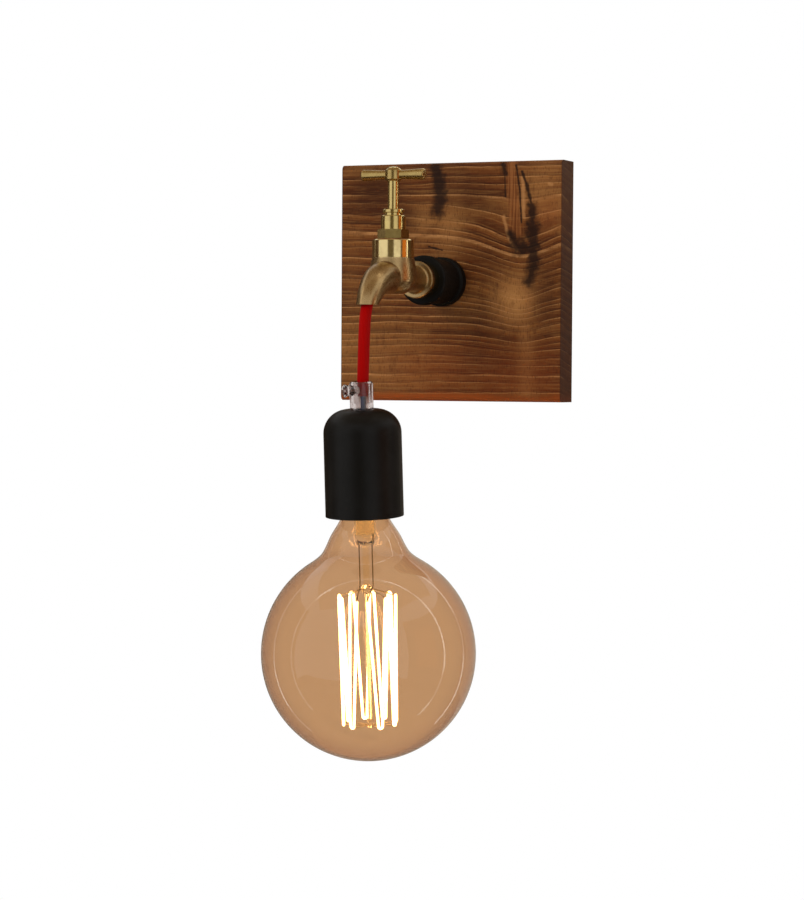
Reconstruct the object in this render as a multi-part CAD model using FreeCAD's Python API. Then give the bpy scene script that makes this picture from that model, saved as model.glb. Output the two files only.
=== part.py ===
import FreeCAD, Part

import math
import os

# Wall lamp made from a water tap: a stained pine block on the wall, an iron pipe
# socket, a brass bib tap with a T handle, and a pendant lampholder with a globe
# bulb that hangs from the tap's mouth on a short red cord.
#
# Frame: X to the right, Y into the wall, Z up, in millimetres. The origin is the
# middle of the two hanging holes, on the plane of the wall.

# One overrun for all cuts, and the clearances between pieces
overrun = 2.0
running_clearance = 0.05
loose_clearance = 0.3
face_gap = 0.1

# A hexagon's corner distance from its axis, as a share of its width across flats
hexagon_corner_share = 1 / math.sqrt(3)

# Wood block
block_width = 148.0
block_height = 148.0
block_thickness = 20.0
block_arris_radius = 3.0
hanging_holes_below_top = 34.0

# Hanger plates let into the back of the block, and their screws
hanger_spacing = 100.0
hanger_length = 46.0
hanger_width = 16.0
hanger_thickness = 1.6
hanger_centre_above_hole = 4.0
keyhole_entry_radius = 4.5
keyhole_slot_width = 4.6
keyhole_slot_rise = 8.0
hanger_screw_spacing = 37.0
screw_head_room_width = 12.0
screw_head_room_depth = 7.0
hanger_screw_head_radius = 2.9
hanger_screw_head_height = 1.5
hanger_screw_shank_radius = 1.4
hanger_screw_length = 12.0
hanger_screw_point = 2.5

# Wiring recess in the back of the block
recess_depth = 13.0
nut_recess_radius = 22.0
pocket_width = 56.0
pocket_height = 36.0
pocket_top_below_axis = 14.0
pocket_corner_radius = 6.0

# Pipe nipple, washer, back nut and socket
tap_offset = -3.5
pipe_radius = 10.4
pipe_bore_radius = 7.6
nipple_engaged_length = 14.0
pipe_hole_clearance = 0.4
nut_washer_radius = 17.0
nut_washer_thickness = 1.5
back_nut_across_flats = 28.0
back_nut_thickness = 6.0
socket_length = 34.0
socket_ring_radius = 15.2
socket_ring_width = 7.2
socket_waist_radius = 13.7
socket_ring_round = 1.5
socket_waist_slope = 1.2

# Tap body: heights are above the axis of its inlet
tap_reach = 43.3
tail_thread_length = 12.0
tail_chamfer = 1.0
tail_collar_radius = 11.3
tail_collar_length = 10.5
tail_collar_edge = 0.5
tail_neck_radius = 7.8
tail_neck_fillet = 1.6
tail_root_radius = 9.8
tail_root_length = 19.0
barrel_radius = 12.5
barrel_top = 22.6
barrel_foot = 11.7
barrel_edge = 0.6
bowl_radius = 14.0
bowl_level = 0.8
bowl_depth = 9.7
bowl_foot_radius = 5.0
inlet_bore_radius = 5.75
inlet_bore_past_axis = 4.8
seat_top = 8.5
seat_ring_height = 1.0
seat_ring_radius = 5.9
seat_hole_radius = 4.25
chamber_radius = 8.6
chamber_top = 12.6
port_radius = 2.6
port_top_forward = 6.5
port_bottom_forward = 11.5
port_top_above_seat = 1.0
port_bottom_height = 2.0
web_hole_radius = 3.8

# Spout: a bend about a line across the tap, round in section
spout_start = 10.1
spout_bend_radius = 28.5
spout_turn = 66.0
spout_cut_turn = 76.0
spout_root_radius = 9.8
spout_mouth_radius = 6.5
spout_wall = 1.3
spout_root_bore_radius = 5.9
spout_bore_start = 6.8
spout_turn_shares = (0.0, 0.42, 0.68, 0.9, 1.0)
spout_taper_shares = (1.0, 0.68, 0.34, 0.1, 0.0)

# Headgear of the tap
bonnet_washer_thickness = 0.5
bonnet_thread_radius = 7.8
bonnet_skirt_bottom = 13.2
bonnet_skirt_bore_radius = 6.35
bonnet_skirt_bore_top = 19.2
hex_across_flats = 16.2
hex_thickness = 5.5
hex_turn = 24.0
hex_edge = 0.5
bonnet_neck_radius = 7.4
bonnet_neck_height = 8.3
bonnet_neck_edge = 0.5
stuffing_box_radius = 5.5
stuffing_box_depth = 6.6
packing_height = 2.2
gland_stem_showing = 1.45
gland_flange_radius = 6.55
gland_flange_height = 2.3
gland_edge = 0.4

# Spindle, jumper valve and handle, drawn with the tap open
thread_lead = 2.0
handle_turns = 3.0
spindle_thread_radius = 4.7
spindle_radius = 3.4
spindle_showing = 16.6
spindle_socket_depth = 8.0
spindle_edge = 0.4
drive_square = 4.6
jumper_washer_radius = 6.0
jumper_washer_thickness = 2.4
jumper_plate_radius = 5.7
jumper_plate_thickness = 1.2
jumper_stem_radius = 2.0
jumper_stem_length = 7.0
jumper_shank_radius = 1.5
jumper_nut_across_flats = 5.5
jumper_nut_thickness = 1.6
handle_length = 40.6
handle_arm_root_radius = 2.6
handle_arm_end_radius = 3.4
handle_arm_end_round = 1.0
handle_boss_radius = 5.2
handle_boss_height = 7.6
handle_boss_edge = 1.2
handle_screw_head_radius = 3.9
handle_screw_head_height = 1.2
handle_screw_head_edge = 0.4
handle_screw_radius = 1.4
handle_screw_length = 7.0

# Cord and its cores
cord_radius = 3.4
core_radius = 1.1
core_spacing = 2.6
flex_clearance = 0.1
flex_turn = 63.0
inner_cord_end = 8.0

# Free cord: it leaves the mouth along the spout, bows forward and enters the grip
cord_first_run = 7.0
cord_last_run = 10.0
cord_bow = 1.5
cord_bow_share = 0.4

# Terminal block in the wiring recess
terminal_block_width = 20.0
terminal_block_height = 16.0
terminal_block_depth = 10.5
terminal_block_left = 18.0
terminal_block_drop = 28.0
terminal_block_edge = 1.0
pole_pitch = 9.6
pole_axis_height = 4.5
barrel_tube_radius = 2.5
barrel_tube_bore_radius = 1.5
barrel_tube_inset = 1.0
core_in_barrel = 5.0
terminal_screw_radius = 1.3
terminal_screw_spacing = 7.0
terminal_screw_sink = 0.8
block_screw_radius = 1.4
block_screw_head_radius = 2.2
block_screw_head_height = 1.6
block_screw_sink = 3.0
block_screw_bite = 5.0

# Pendant: all below is measured down its own axis from the top of the cord grip
grip_forward = 141.3
grip_drop = 61.65
pendant_lean = 4.5
grip_radius = 6.85
grip_height = 16.1
grip_edge = 0.9
grip_bore_radius = 4.65
grip_bore_floor = 12.5
grip_stud_bore_radius = 3.6
grip_stud_radius = 5.0
grip_stud_length = 7.5
grip_boss_radius = 3.3
grip_boss_reach = 9.0
grip_screw_depth = 4.9
grip_screw_heading = 234.0
grip_screw_radius = 2.3
grip_screw_neck_radius = 2.5
grip_screw_head_radius = 3.8
grip_screw_head_start = 9.2
grip_screw_head_end = 11.4
grip_screw_head_edge = 0.5
cord_in_grip = 8.4

# Lampholder cup
cup_top_radius = 22.8
cup_rim_radius = 22.9
cup_height = 62.4
cup_corner_radius = 14.0
cup_wall = 1.0
cup_hole_clearance = 0.15

# Bracket inside the cup
bracket_span = 23.0
bracket_width = 10.0
bracket_bend_radius = 4.0
bracket_thickness = 1.5
bracket_height = 18.8
bracket_foot_length = 7.0
bracket_boss_radius = 7.5
bracket_boss_height = 4.0
bracket_screw_radius = 1.5
bracket_screw_head_radius = 2.8
bracket_screw_head_height = 1.7
bracket_screw_length = 9.0

# Ceramic body, screw shell, contacts and terminals
ceramic_radius = 19.8
ceramic_height = 40.5
ceramic_mouth_radius = 16.6
ceramic_mouth_depth = 3.7
ceramic_edge = 1.0
shell_wall = 0.5
shell_length = 24.0
shell_flange_bore_radius = 11.5
contact_pocket_radius = 10.0
contact_pocket_rise = 4.8
contact_strip_width = 7.0
contact_strip_thickness = 0.6
contact_strip_overlap = 4.0
contact_strip_lift = 0.75
holder_terminal_offset = 12.7
holder_terminal_width = 7.0
holder_terminal_depth = 6.0
holder_terminal_height = 6.0
holder_screw_radius = 1.2
holder_screw_head_radius = 2.2
holder_screw_head_height = 1.6
rivet_radius = 1.3
rivet_head_height = 0.6
core_end_above_terminal = 2.5

# Globe bulb: depths are below the rim of the cup
globe_radius = 63.0
globe_centre_depth = 81.3
glass_wall = 0.9
neck_top_depth = -8.9
neck_top_radius = 12.6
neck_collar_depth = -4.6
neck_collar_radius = 12.9
neck_throat_depth = -0.9
neck_throat_radius = 13.4
neck_flare_depth = 3.4
neck_flare_radius = 15.2
neck_cheek_depth = 11.4
neck_cheek_radius = 20.2
neck_foot_depth = 18.4
neck_foot_radius = 23.6
neck_sweep_depth = 22.7
neck_sweep_radius = 26.4
neck_join_depth = 27.6
cap_radius = 13.1
cap_wall = 0.35
cap_length = 20.0
cap_shoulder_height = 2.1
cap_shoulder_radius = 10.4
insulator_height = 2.8
insulator_top_radius = 4.9
button_radius = 4.7
button_height = 1.4
button_edge = 0.6
stem_flare_radius = 11.6
stem_flare_thickness = 0.8
stem_tube_radius = 6.2
stem_tube_wall = 1.0
stem_tube_top_depth = -1.9
press_top_depth = 11.0
press_bottom_depth = 17.0
press_width = 10.4
press_thickness = 5.0
stem_rod_radius = 1.9
stem_wire_radius = 1.1
upper_bead_depth = 43.2
upper_bead_radius = 3.2
lower_bead_depth = 124.0
lower_bead_radius = 1.9
lead_wire_radius = 0.4
lead_spread = 4.2
lead_bend_depth = 41.2
support_wire_radius = 0.25

# Squirrel cage filament, held on hooks at its top and bottom
filament_radius = 0.8
filament_top_depth = 48.4
filament_bottom_depth = 122.0
cage_top_radius = 16.8
cage_bottom_radius = 15.8
filament_turn_radius = 1.25
bottom_hook_count = 8
cage_heading = 285.0

# Places that follow from the sizes above
middle_z = hanging_holes_below_top - block_height / 2
axis_x = tap_offset
block_bottom = middle_z - block_height / 2
tap_y = -(block_thickness + socket_length + tap_reach)
hex_bottom = barrel_top + bonnet_washer_thickness
hex_top = hex_bottom + hex_thickness
bonnet_top = hex_top + bonnet_neck_height
stuffing_box_floor = bonnet_top - stuffing_box_depth
gland_flange_bottom = bonnet_top + gland_stem_showing
gland_flange_top = gland_flange_bottom + gland_flange_height
boss_bottom = gland_flange_top + spindle_showing
boss_top = boss_bottom + handle_boss_height
valve_travel = thread_lead * handle_turns
washer_bottom = seat_top + face_gap + valve_travel
plate_bottom = washer_bottom + jumper_washer_thickness
plate_top = plate_bottom + jumper_plate_thickness
spindle_bottom = plate_top + face_gap
recess_floor_y = -recess_depth
nut_back_y = recess_floor_y + nut_washer_thickness + back_nut_thickness
cup_top = -grip_height
cup_rim = cup_top - cup_height
bracket_top = cup_top - cup_wall
ceramic_top = bracket_top - bracket_height
ceramic_bottom = ceramic_top - ceramic_height
shell_bottom = ceramic_bottom + ceramic_mouth_depth
shell_top = shell_bottom + shell_length
contact_ceiling = shell_top + contact_pocket_rise
contact_strip_top = contact_ceiling - contact_strip_lift
contact_strip_bottom = contact_strip_top - contact_strip_thickness
shell_bore_radius = cap_radius + running_clearance
button_top = contact_strip_bottom
insulator_top = button_top - button_height
cap_top = insulator_top - insulator_height
cap_shoulder = cap_top - cap_shoulder_height
cap_bottom = cap_shoulder - cap_length

x_axis = FreeCAD.Vector(1, 0, 0)
y_axis = FreeCAD.Vector(0, 1, 0)
z_axis = FreeCAD.Vector(0, 0, 1)
origin = FreeCAD.Vector(0, 0, 0)


def vec(x, y, z):
    return FreeCAD.Vector(x, y, z)


def rod(radius, length, start, direction=z_axis):
    return Part.makeCylinder(radius, length, start, direction)


def ring(outer_radius, inner_radius, length, start, direction=z_axis):
    back = FreeCAD.Vector(direction).normalize() * overrun
    hole = rod(inner_radius, length + 2 * overrun, start - back, direction)
    return rod(outer_radius, length, start, direction).cut(hole)


def box(low, high):
    size = high - low
    return Part.makeBox(size.x, size.y, size.z, low)


def outline(start, moves):
    """A closed face in the XZ plane. A move is a point, or a point passed and a point reached."""
    edges = []
    here = vec(start[0], 0, start[1])
    for move in moves:
        if isinstance(move[0], tuple):
            passed = vec(move[0][0], 0, move[0][1])
            there = vec(move[1][0], 0, move[1][1])
            edges.append(Part.Arc(here, passed, there).toShape())
        else:
            there = vec(move[0], 0, move[1])
            edges.append(Part.LineSegment(here, there).toShape())
        here = there
    edges.append(Part.LineSegment(here, vec(start[0], 0, start[1])).toShape())
    return Part.Face(Part.Wire(edges))


def turned(start, moves):
    """A solid turned about Z from an outline of (radius, height) points."""
    return outline(start, moves).revolve(origin, z_axis, 360)


def prism(across_flats, height, bottom, turn=0.0):
    """A hexagonal bar along Z with a flat facing -Y before it is turned."""
    corner = across_flats * hexagon_corner_share
    points = []
    for step in range(7):
        angle = math.radians(60 * step + turn)
        points.append(vec(corner * math.cos(angle), corner * math.sin(angle), bottom))
    return Part.Face(Part.makePolygon(points)).extrude(vec(0, 0, height))


def rounded_route(points, share=0.45):
    """Straight runs joined by tangent arcs as large as the two runs allow. Returns wire and radii."""
    edges = []
    radii = []
    here = points[0]
    for before, corner, after in zip(points, points[1:], points[2:]):
        inward = (corner - before).normalize()
        outward = (after - corner).normalize()
        turn = inward.getAngle(outward)
        reach = share * min(before.distanceToPoint(corner), corner.distanceToPoint(after))
        radius = reach / math.tan(turn / 2)
        arc_start = corner - inward * reach
        arc_end = corner + outward * reach
        bisector = (outward - inward).normalize()
        depth = radius / math.cos(turn / 2) - radius
        edges.append(Part.LineSegment(here, arc_start).toShape())
        edges.append(Part.Arc(arc_start, corner + bisector * depth, arc_end).toShape())
        radii.append(radius)
        here = arc_end
    edges.append(Part.LineSegment(here, points[-1]).toShape())
    return Part.Wire(edges), radii


def swept_tube(path, radius):
    first = path.OrderedEdges[0]
    start = first.valueAt(first.FirstParameter)
    direction = first.tangentAt(first.FirstParameter)
    circle = Part.Wire([Part.makeCircle(radius, start, direction)])
    return path.makePipeShell([circle], True, False)


def at_tap(shape):
    """Moves a shape drawn about the tap's axis, with the inlet at height zero, to its place."""
    return shape.translated(vec(axis_x, tap_y, middle_z))


def hung(shape):
    """Moves a shape drawn below the origin, along the pendant's axis, to its place."""
    leaning = shape.rotated(origin, x_axis, pendant_lean)
    return leaning.translated(vec(axis_x, -grip_forward, middle_z - grip_drop))


def hung_point(point):
    leaning = FreeCAD.Rotation(x_axis, pendant_lean).multVec(point)
    return leaning + vec(axis_x, -grip_forward, middle_z - grip_drop)


def save(name, shape):
    solids = shape.Solids
    result = solids[0] if len(solids) == 1 else Part.makeCompound(solids)
    result.exportStep("parts/" + name + ".step")


# Wood block and what is let into its back


def hanger_holes():
    return [vec(side * hanger_spacing / 2, 0, 0) for side in (-1, 1)]


def hanger_screw_places():
    places = []
    for hole in hanger_holes():
        for end in (-1, 1):
            rise = hanger_centre_above_hole + end * hanger_screw_spacing / 2
            places.append(hole + vec(0, 0, rise))
    return places


def stadium(width, length, depth, centre):
    """An upright round-ended slab from the wall plane into the block."""
    radius = width / 2
    half_straight = (length - width) / 2
    low = centre + vec(-radius, -depth, -half_straight)
    high = centre + vec(radius, 0, half_straight)
    slab = box(low, high)
    for end in (-1, 1):
        slab = slab.fuse(rod(radius, depth, centre + vec(0, 0, end * half_straight), -y_axis))
    return slab.removeSplitter()


def hanger_screw(place):
    """A countersunk wood screw, head flush with the wall plane."""
    tip = -hanger_screw_length
    screw = turned(
        (0, 0),
        [
            (hanger_screw_head_radius, 0),
            (hanger_screw_shank_radius, -hanger_screw_head_height),
            (hanger_screw_shank_radius, tip + hanger_screw_point),
            (0, tip),
        ],
    )
    return screw.rotated(origin, x_axis, -90).translated(place)


def wood_block():
    low = vec(-block_width / 2, -block_thickness, block_bottom)
    block = box(low, low + vec(block_width, block_thickness, block_height))
    long_arrises = [
        edge
        for edge in block.Edges
        if abs(edge.tangentAt(edge.FirstParameter).x) > 0.99 and edge.CenterOfMass.y < -block_thickness / 2
    ]
    block = block.makeFillet(block_arris_radius, long_arrises)
    start = vec(axis_x, overrun, middle_z)
    block = block.cut(rod(nut_recess_radius, recess_depth + overrun, start, -y_axis))
    through = block_thickness + 2 * overrun
    block = block.cut(rod(pipe_radius + pipe_hole_clearance, through, start, -y_axis))
    pocket_top = middle_z - pocket_top_below_axis
    pocket_low = vec(axis_x - pocket_width / 2, recess_floor_y, pocket_top - pocket_height)
    pocket = box(pocket_low, pocket_low + vec(pocket_width, recess_depth + overrun, pocket_height))
    upright = [edge for edge in pocket.Edges if abs(edge.tangentAt(edge.FirstParameter).y) > 0.99]
    block = block.cut(pocket.makeFillet(pocket_corner_radius, upright))
    room_length = keyhole_slot_rise + 2 * screw_head_room_width / 2 + loose_clearance
    for hole in hanger_holes():
        plate_centre = hole + vec(0, 0, hanger_centre_above_hole)
        block = block.cut(stadium(hanger_width, hanger_length, hanger_thickness, plate_centre))
        room_centre = hole + vec(0, 0, keyhole_slot_rise / 2)
        room_depth = hanger_thickness + screw_head_room_depth
        block = block.cut(stadium(screw_head_room_width, room_length, room_depth, room_centre))
    for place in hanger_screw_places():
        block = block.cut(hanger_screw(place))
    block = block.cut(block_screw())
    return block


def hanger_plates():
    plates = []
    for hole in hanger_holes():
        centre = hole + vec(0, 0, hanger_centre_above_hole)
        plate = stadium(hanger_width, hanger_length, hanger_thickness, centre)
        through = hanger_thickness + 2 * overrun
        plate = plate.cut(rod(keyhole_entry_radius, through, hole + vec(0, overrun, 0), -y_axis))
        slot_low = hole + vec(-keyhole_slot_width / 2, -through, 0)
        slot_high = hole + vec(keyhole_slot_width / 2, overrun, keyhole_slot_rise)
        plate = plate.cut(box(slot_low, slot_high))
        slot_end = hole + vec(0, overrun, keyhole_slot_rise)
        plate = plate.cut(rod(keyhole_slot_width / 2, through + overrun, slot_end, -y_axis))
        for place in hanger_screw_places():
            if abs(place.x - hole.x) < hanger_width:
                plate = plate.cut(hanger_screw(place))
        plates.append(plate)
    return Part.makeCompound(plates)


def hanger_screws():
    return Part.makeCompound([hanger_screw(place) for place in hanger_screw_places()])


# Terminal block: drawn in place in the recess


def terminal_block_corner():
    right = axis_x - terminal_block_left + terminal_block_width
    top = middle_z - terminal_block_drop
    return vec(right - terminal_block_width, recess_floor_y, top - terminal_block_height)


def pole_places():
    """Top ends of the two brass barrels' axes, on the block's upper face."""
    corner = terminal_block_corner()
    places = []
    for side in (-1, 1):
        across = terminal_block_width / 2 + side * pole_pitch / 2
        places.append(corner + vec(across, pole_axis_height, terminal_block_height))
    return places


def terminal_barrel_tubes():
    length = terminal_block_height - 2 * barrel_tube_inset
    tubes = []
    for place in pole_places():
        start = place - vec(0, 0, barrel_tube_inset)
        tube = ring(barrel_tube_radius, barrel_tube_bore_radius, length, start, -z_axis)
        for hole in terminal_screw_rods(place, 0, 0):
            tube = tube.cut(hole)
        tubes.append(tube)
    return Part.makeCompound(tubes)


def terminal_screw_rods(place, upper_tip, lower_tip):
    """The two clamp screws over one pole, each with its tip this far from the pole's axis."""
    head_y = recess_floor_y + terminal_block_depth - terminal_screw_sink
    rods = []
    for end, tip in ((1, upper_tip), (-1, lower_tip)):
        tip_y = place.y + tip
        drop = terminal_block_height / 2 - end * terminal_screw_spacing / 2
        start = vec(place.x, head_y, place.z - drop)
        rods.append(rod(terminal_screw_radius, head_y - tip_y, start, -y_axis))
    return rods


def block_screw():
    """The wood screw through the middle of the terminal block."""
    corner = terminal_block_corner()
    middle = corner + vec(terminal_block_width / 2, 0, terminal_block_height / 2)
    seat_y = recess_floor_y + terminal_block_depth - block_screw_sink
    head_start = vec(middle.x, seat_y, middle.z)
    head = rod(block_screw_head_radius, block_screw_head_height, head_start, y_axis)
    shank_length = seat_y - recess_floor_y + block_screw_bite
    return head.fuse(rod(block_screw_radius, shank_length, head_start, -y_axis))


def terminal_block():
    corner = terminal_block_corner()
    size = vec(terminal_block_width, terminal_block_depth, terminal_block_height)
    body = box(corner, corner + size)
    raised_y = recess_floor_y + terminal_block_edge
    edges = [edge for edge in body.Edges if edge.CenterOfMass.y > raised_y]
    body = body.makeFillet(terminal_block_edge, edges)
    top_y = recess_floor_y + terminal_block_depth
    for place in pole_places():
        start = place + vec(0, 0, overrun)
        through = terminal_block_height + 2 * overrun
        body = body.cut(rod(barrel_tube_bore_radius, through, start, -z_axis))
        inner_length = terminal_block_height - 2 * barrel_tube_inset
        body = body.cut(rod(barrel_tube_radius, inner_length, place - vec(0, 0, barrel_tube_inset), -z_axis))
        for end in (-1, 1):
            drop = terminal_block_height / 2 - end * terminal_screw_spacing / 2
            mouth = vec(place.x, top_y + overrun, place.z - drop)
            depth = top_y + overrun - place.y
            body = body.cut(rod(terminal_screw_radius, depth, mouth, -y_axis))
    middle = corner + vec(terminal_block_width / 2, 0, terminal_block_height / 2)
    well_start = vec(middle.x, top_y + overrun, middle.z)
    body = body.cut(rod(block_screw_head_radius, block_screw_sink + overrun, well_start, -y_axis))
    body = body.cut(block_screw())
    return body


def terminal_screws():
    """The upper screws are down on the cores, the lower ones are backed off for the supply wires."""
    rods = []
    for place in pole_places():
        rods.extend(terminal_screw_rods(place, core_radius, barrel_tube_bore_radius))
    return Part.makeCompound(rods)


def recess_core(side):
    """One insulated core, from the cord's end in the nipple over the nut to its terminal."""
    place = pole_places()[0 if side < 0 else 1]
    x = axis_x + side * core_spacing / 2
    over_nut_y = nut_back_y + core_radius + 2 * loose_clearance + core_radius
    clear_z = middle_z - back_nut_across_flats / 2
    points = [
        vec(x, -inner_cord_end, middle_z),
        vec(x, over_nut_y, middle_z),
        vec(x + (place.x - x) / 2, over_nut_y, clear_z),
        vec(place.x, place.y, place.z + core_in_barrel / 2),
        vec(place.x, place.y, place.z - core_in_barrel),
    ]
    path = rounded_route(points)[0]
    return swept_tube(path, core_radius)


# Pipe fittings between the block and the tap


def pipe_nipple():
    start = vec(axis_x, nut_back_y, middle_z)
    length = nut_back_y + block_thickness + nipple_engaged_length
    return ring(pipe_radius, pipe_bore_radius, length, start, -y_axis)


def nut_washer():
    start = vec(axis_x, recess_floor_y, middle_z)
    return ring(nut_washer_radius, pipe_radius + running_clearance, nut_washer_thickness, start, y_axis)


def back_nut():
    bar = prism(back_nut_across_flats, back_nut_thickness, 0)
    bar = bar.cut(rod(pipe_radius, back_nut_thickness + 2 * overrun, vec(0, 0, -overrun)))
    chamfer_radius = back_nut_across_flats / 2
    corner_radius = back_nut_across_flats * hexagon_corner_share
    crown = turned(
        (0, 0),
        [
            (corner_radius, 0),
            (corner_radius, back_nut_thickness - (corner_radius - chamfer_radius) / 2),
            (chamfer_radius, back_nut_thickness),
            (0, back_nut_thickness),
        ],
    )
    bar = bar.common(crown)
    seat_y = recess_floor_y + nut_washer_thickness
    return bar.rotated(origin, x_axis, -90).translated(vec(axis_x, seat_y, middle_z))


def pipe_socket():
    """Cast socket with a rounded ring at each end, its axis drawn along Z from the block."""
    top = socket_length
    lower = socket_ring_width
    upper = top - socket_ring_width
    bulge = socket_ring_radius - socket_ring_round * (1 - math.sqrt(0.5))
    corner = socket_ring_round * (1 - math.sqrt(0.5))
    flat = socket_ring_radius - socket_ring_round
    body = turned(
        (pipe_radius, 0),
        [
            (flat, 0),
            ((bulge, corner), (socket_ring_radius, socket_ring_round)),
            (socket_ring_radius, lower - socket_waist_slope),
            (socket_waist_radius, lower),
            (socket_waist_radius, upper),
            (socket_ring_radius, upper + socket_waist_slope),
            (socket_ring_radius, top - socket_ring_round),
            ((bulge, top - corner), (flat, top)),
            (pipe_radius, top),
        ],
    )
    return body.rotated(origin, x_axis, 90).translated(vec(axis_x, -block_thickness, middle_z))


# Tap body


def spout_point(turn):
    """The middle of the spout after it has bent by this angle, from the tap's axis."""
    angle = math.radians(turn)
    forward = spout_start + spout_bend_radius * math.sin(angle)
    drop = spout_bend_radius * (1 - math.cos(angle))
    return vec(0, -forward, -drop)


def spout_direction(turn):
    angle = math.radians(turn)
    return vec(0, -math.cos(angle), -math.sin(angle))


def spout_loft(root_radius, mouth_radius, start_forward):
    """A tapering round bar along the spout, from inside the body to past the mouth."""
    circles = [Part.Wire([Part.makeCircle(root_radius, vec(0, -start_forward, 0), -y_axis)])]
    turns = [share * spout_turn for share in spout_turn_shares] + [spout_cut_turn]
    tapers = list(spout_taper_shares) + [spout_taper_shares[-1]]
    for turn, taper in zip(turns, tapers):
        radius = mouth_radius + taper * (root_radius - mouth_radius)
        circle = Part.makeCircle(radius, spout_point(turn), spout_direction(turn))
        circles.append(Part.Wire([circle]))
    return Part.makeLoft(circles, True, False)


def body_bowl():
    half = math.sqrt(0.5)
    low_r = bowl_foot_radius + (bowl_radius - bowl_foot_radius) * half
    low_z = bowl_level - (bowl_level + bowl_depth) * half
    swell_r = barrel_radius + (bowl_radius - barrel_radius) * half
    swell_z = (bowl_level + barrel_foot) / 2
    return turned(
        (0, -bowl_depth),
        [
            (bowl_foot_radius, -bowl_depth),
            ((low_r, low_z), (bowl_radius, bowl_level)),
            ((swell_r, swell_z), (barrel_radius, barrel_foot)),
            (barrel_radius, barrel_top - barrel_edge),
            (barrel_radius - barrel_edge, barrel_top),
            (0, barrel_top),
        ],
    )


def body_tail():
    """Neck, collar and threaded tail, drawn along Z from the tap's axis towards the wall."""
    collar_front = tap_reach - tail_collar_length
    end = tap_reach + tail_thread_length
    neck_end = collar_front - tail_neck_fillet
    fillet_r = tail_neck_radius + tail_neck_fillet
    fillet_mid_z = collar_front - tail_neck_fillet * (1 - math.sqrt(0.5))
    half = math.sqrt(0.5)
    root_mid_r = tail_neck_radius + (tail_root_radius - tail_neck_radius) / 4
    root_mid_z = tail_root_length / 2
    tail = turned(
        (0, 0),
        [
            (tail_root_radius, 0),
            ((root_mid_r, root_mid_z), (tail_neck_radius, tail_root_length)),
            (tail_neck_radius, neck_end),
            ((fillet_r - tail_neck_fillet * half, fillet_mid_z), (fillet_r, collar_front)),
            (tail_collar_radius - tail_collar_edge, collar_front),
            (tail_collar_radius, collar_front + tail_collar_edge),
            (tail_collar_radius, tap_reach),
            (pipe_radius, tap_reach),
            (pipe_radius, end - tail_chamfer),
            (pipe_radius - tail_chamfer, end),
            (0, end),
        ],
    )
    return tail.rotated(origin, x_axis, -90)


def tap_body():
    body = body_bowl().fuse(body_tail())
    body = body.fuse(spout_loft(spout_root_radius, spout_mouth_radius, 0))
    mouth_z = spout_point(spout_turn).z
    reach = spout_start + spout_bend_radius + spout_root_radius
    low = vec(-bowl_radius - overrun, -reach - overrun, mouth_z - spout_bend_radius)
    high = vec(bowl_radius + overrun, -spout_start, mouth_z)
    body = body.cut(box(low, high))
    seat_floor = seat_top - seat_ring_height
    inlet_start = vec(0, -inlet_bore_past_axis, 0)
    inlet_length = inlet_bore_past_axis + tap_reach + tail_thread_length + overrun
    chamber = rod(chamber_radius, chamber_top - seat_floor, vec(0, 0, seat_floor))
    chamber = chamber.cut(rod(seat_ring_radius, seat_ring_height, vec(0, 0, seat_floor)))
    thread_top = barrel_top + overrun
    thread_radius = bonnet_thread_radius + running_clearance
    port_top = vec(0, -port_top_forward, seat_top + port_top_above_seat)
    port_bottom = vec(0, -port_bottom_forward, port_bottom_height)
    web_length = spout_bore_start - inlet_bore_past_axis + overrun
    for cavity in (
        rod(inlet_bore_radius, inlet_length, inlet_start, y_axis),
        rod(seat_hole_radius, seat_top, origin),
        chamber,
        rod(thread_radius, thread_top - chamber_top, vec(0, 0, chamber_top)),
        spout_loft(spout_root_bore_radius, spout_mouth_radius - spout_wall, spout_bore_start),
        rod(port_radius, port_top.distanceToPoint(port_bottom), port_top, port_bottom - port_top),
        rod(web_hole_radius, web_length, vec(0, -inlet_bore_past_axis, 0), -y_axis),
    ):
        body = body.cut(cavity)
    return at_tap(body.removeSplitter())


# Headgear


def bonnet_washer():
    outer = hex_across_flats / 2
    inner = bonnet_thread_radius + running_clearance
    return at_tap(ring(outer, inner, bonnet_washer_thickness, vec(0, 0, barrel_top)))


def bonnet():
    corner = hex_across_flats * hexagon_corner_share
    collar = prism(hex_across_flats, hex_thickness, hex_bottom, hex_turn)
    crown = turned(
        (0, hex_bottom),
        [
            (corner - hex_edge, hex_bottom),
            (corner, hex_bottom + hex_edge),
            (corner, hex_top - hex_edge),
            (corner - hex_edge, hex_top),
            (0, hex_top),
        ],
    )
    body = collar.common(crown)
    body = body.fuse(
        turned(
            (0, bonnet_skirt_bottom),
            [
                (bonnet_thread_radius, bonnet_skirt_bottom),
                (bonnet_thread_radius, hex_bottom),
                (bonnet_neck_radius, hex_bottom),
                (bonnet_neck_radius, bonnet_top - bonnet_neck_edge),
                (bonnet_neck_radius - bonnet_neck_edge, bonnet_top),
                (0, bonnet_top),
            ],
        )
    )
    skirt_start = bonnet_skirt_bottom - overrun
    skirt_bore_length = bonnet_skirt_bore_top - skirt_start
    body = body.cut(rod(bonnet_skirt_bore_radius, skirt_bore_length, vec(0, 0, skirt_start)))
    thread_bore = spindle_thread_radius + running_clearance
    body = body.cut(rod(thread_bore, bonnet_top - skirt_start, vec(0, 0, skirt_start)))
    box_start = vec(0, 0, stuffing_box_floor)
    body = body.cut(rod(stuffing_box_radius, stuffing_box_depth + overrun, box_start))
    return at_tap(body)


def gland_packing():
    inner = spindle_radius + running_clearance
    return at_tap(ring(stuffing_box_radius, inner, packing_height, vec(0, 0, stuffing_box_floor)))


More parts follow.
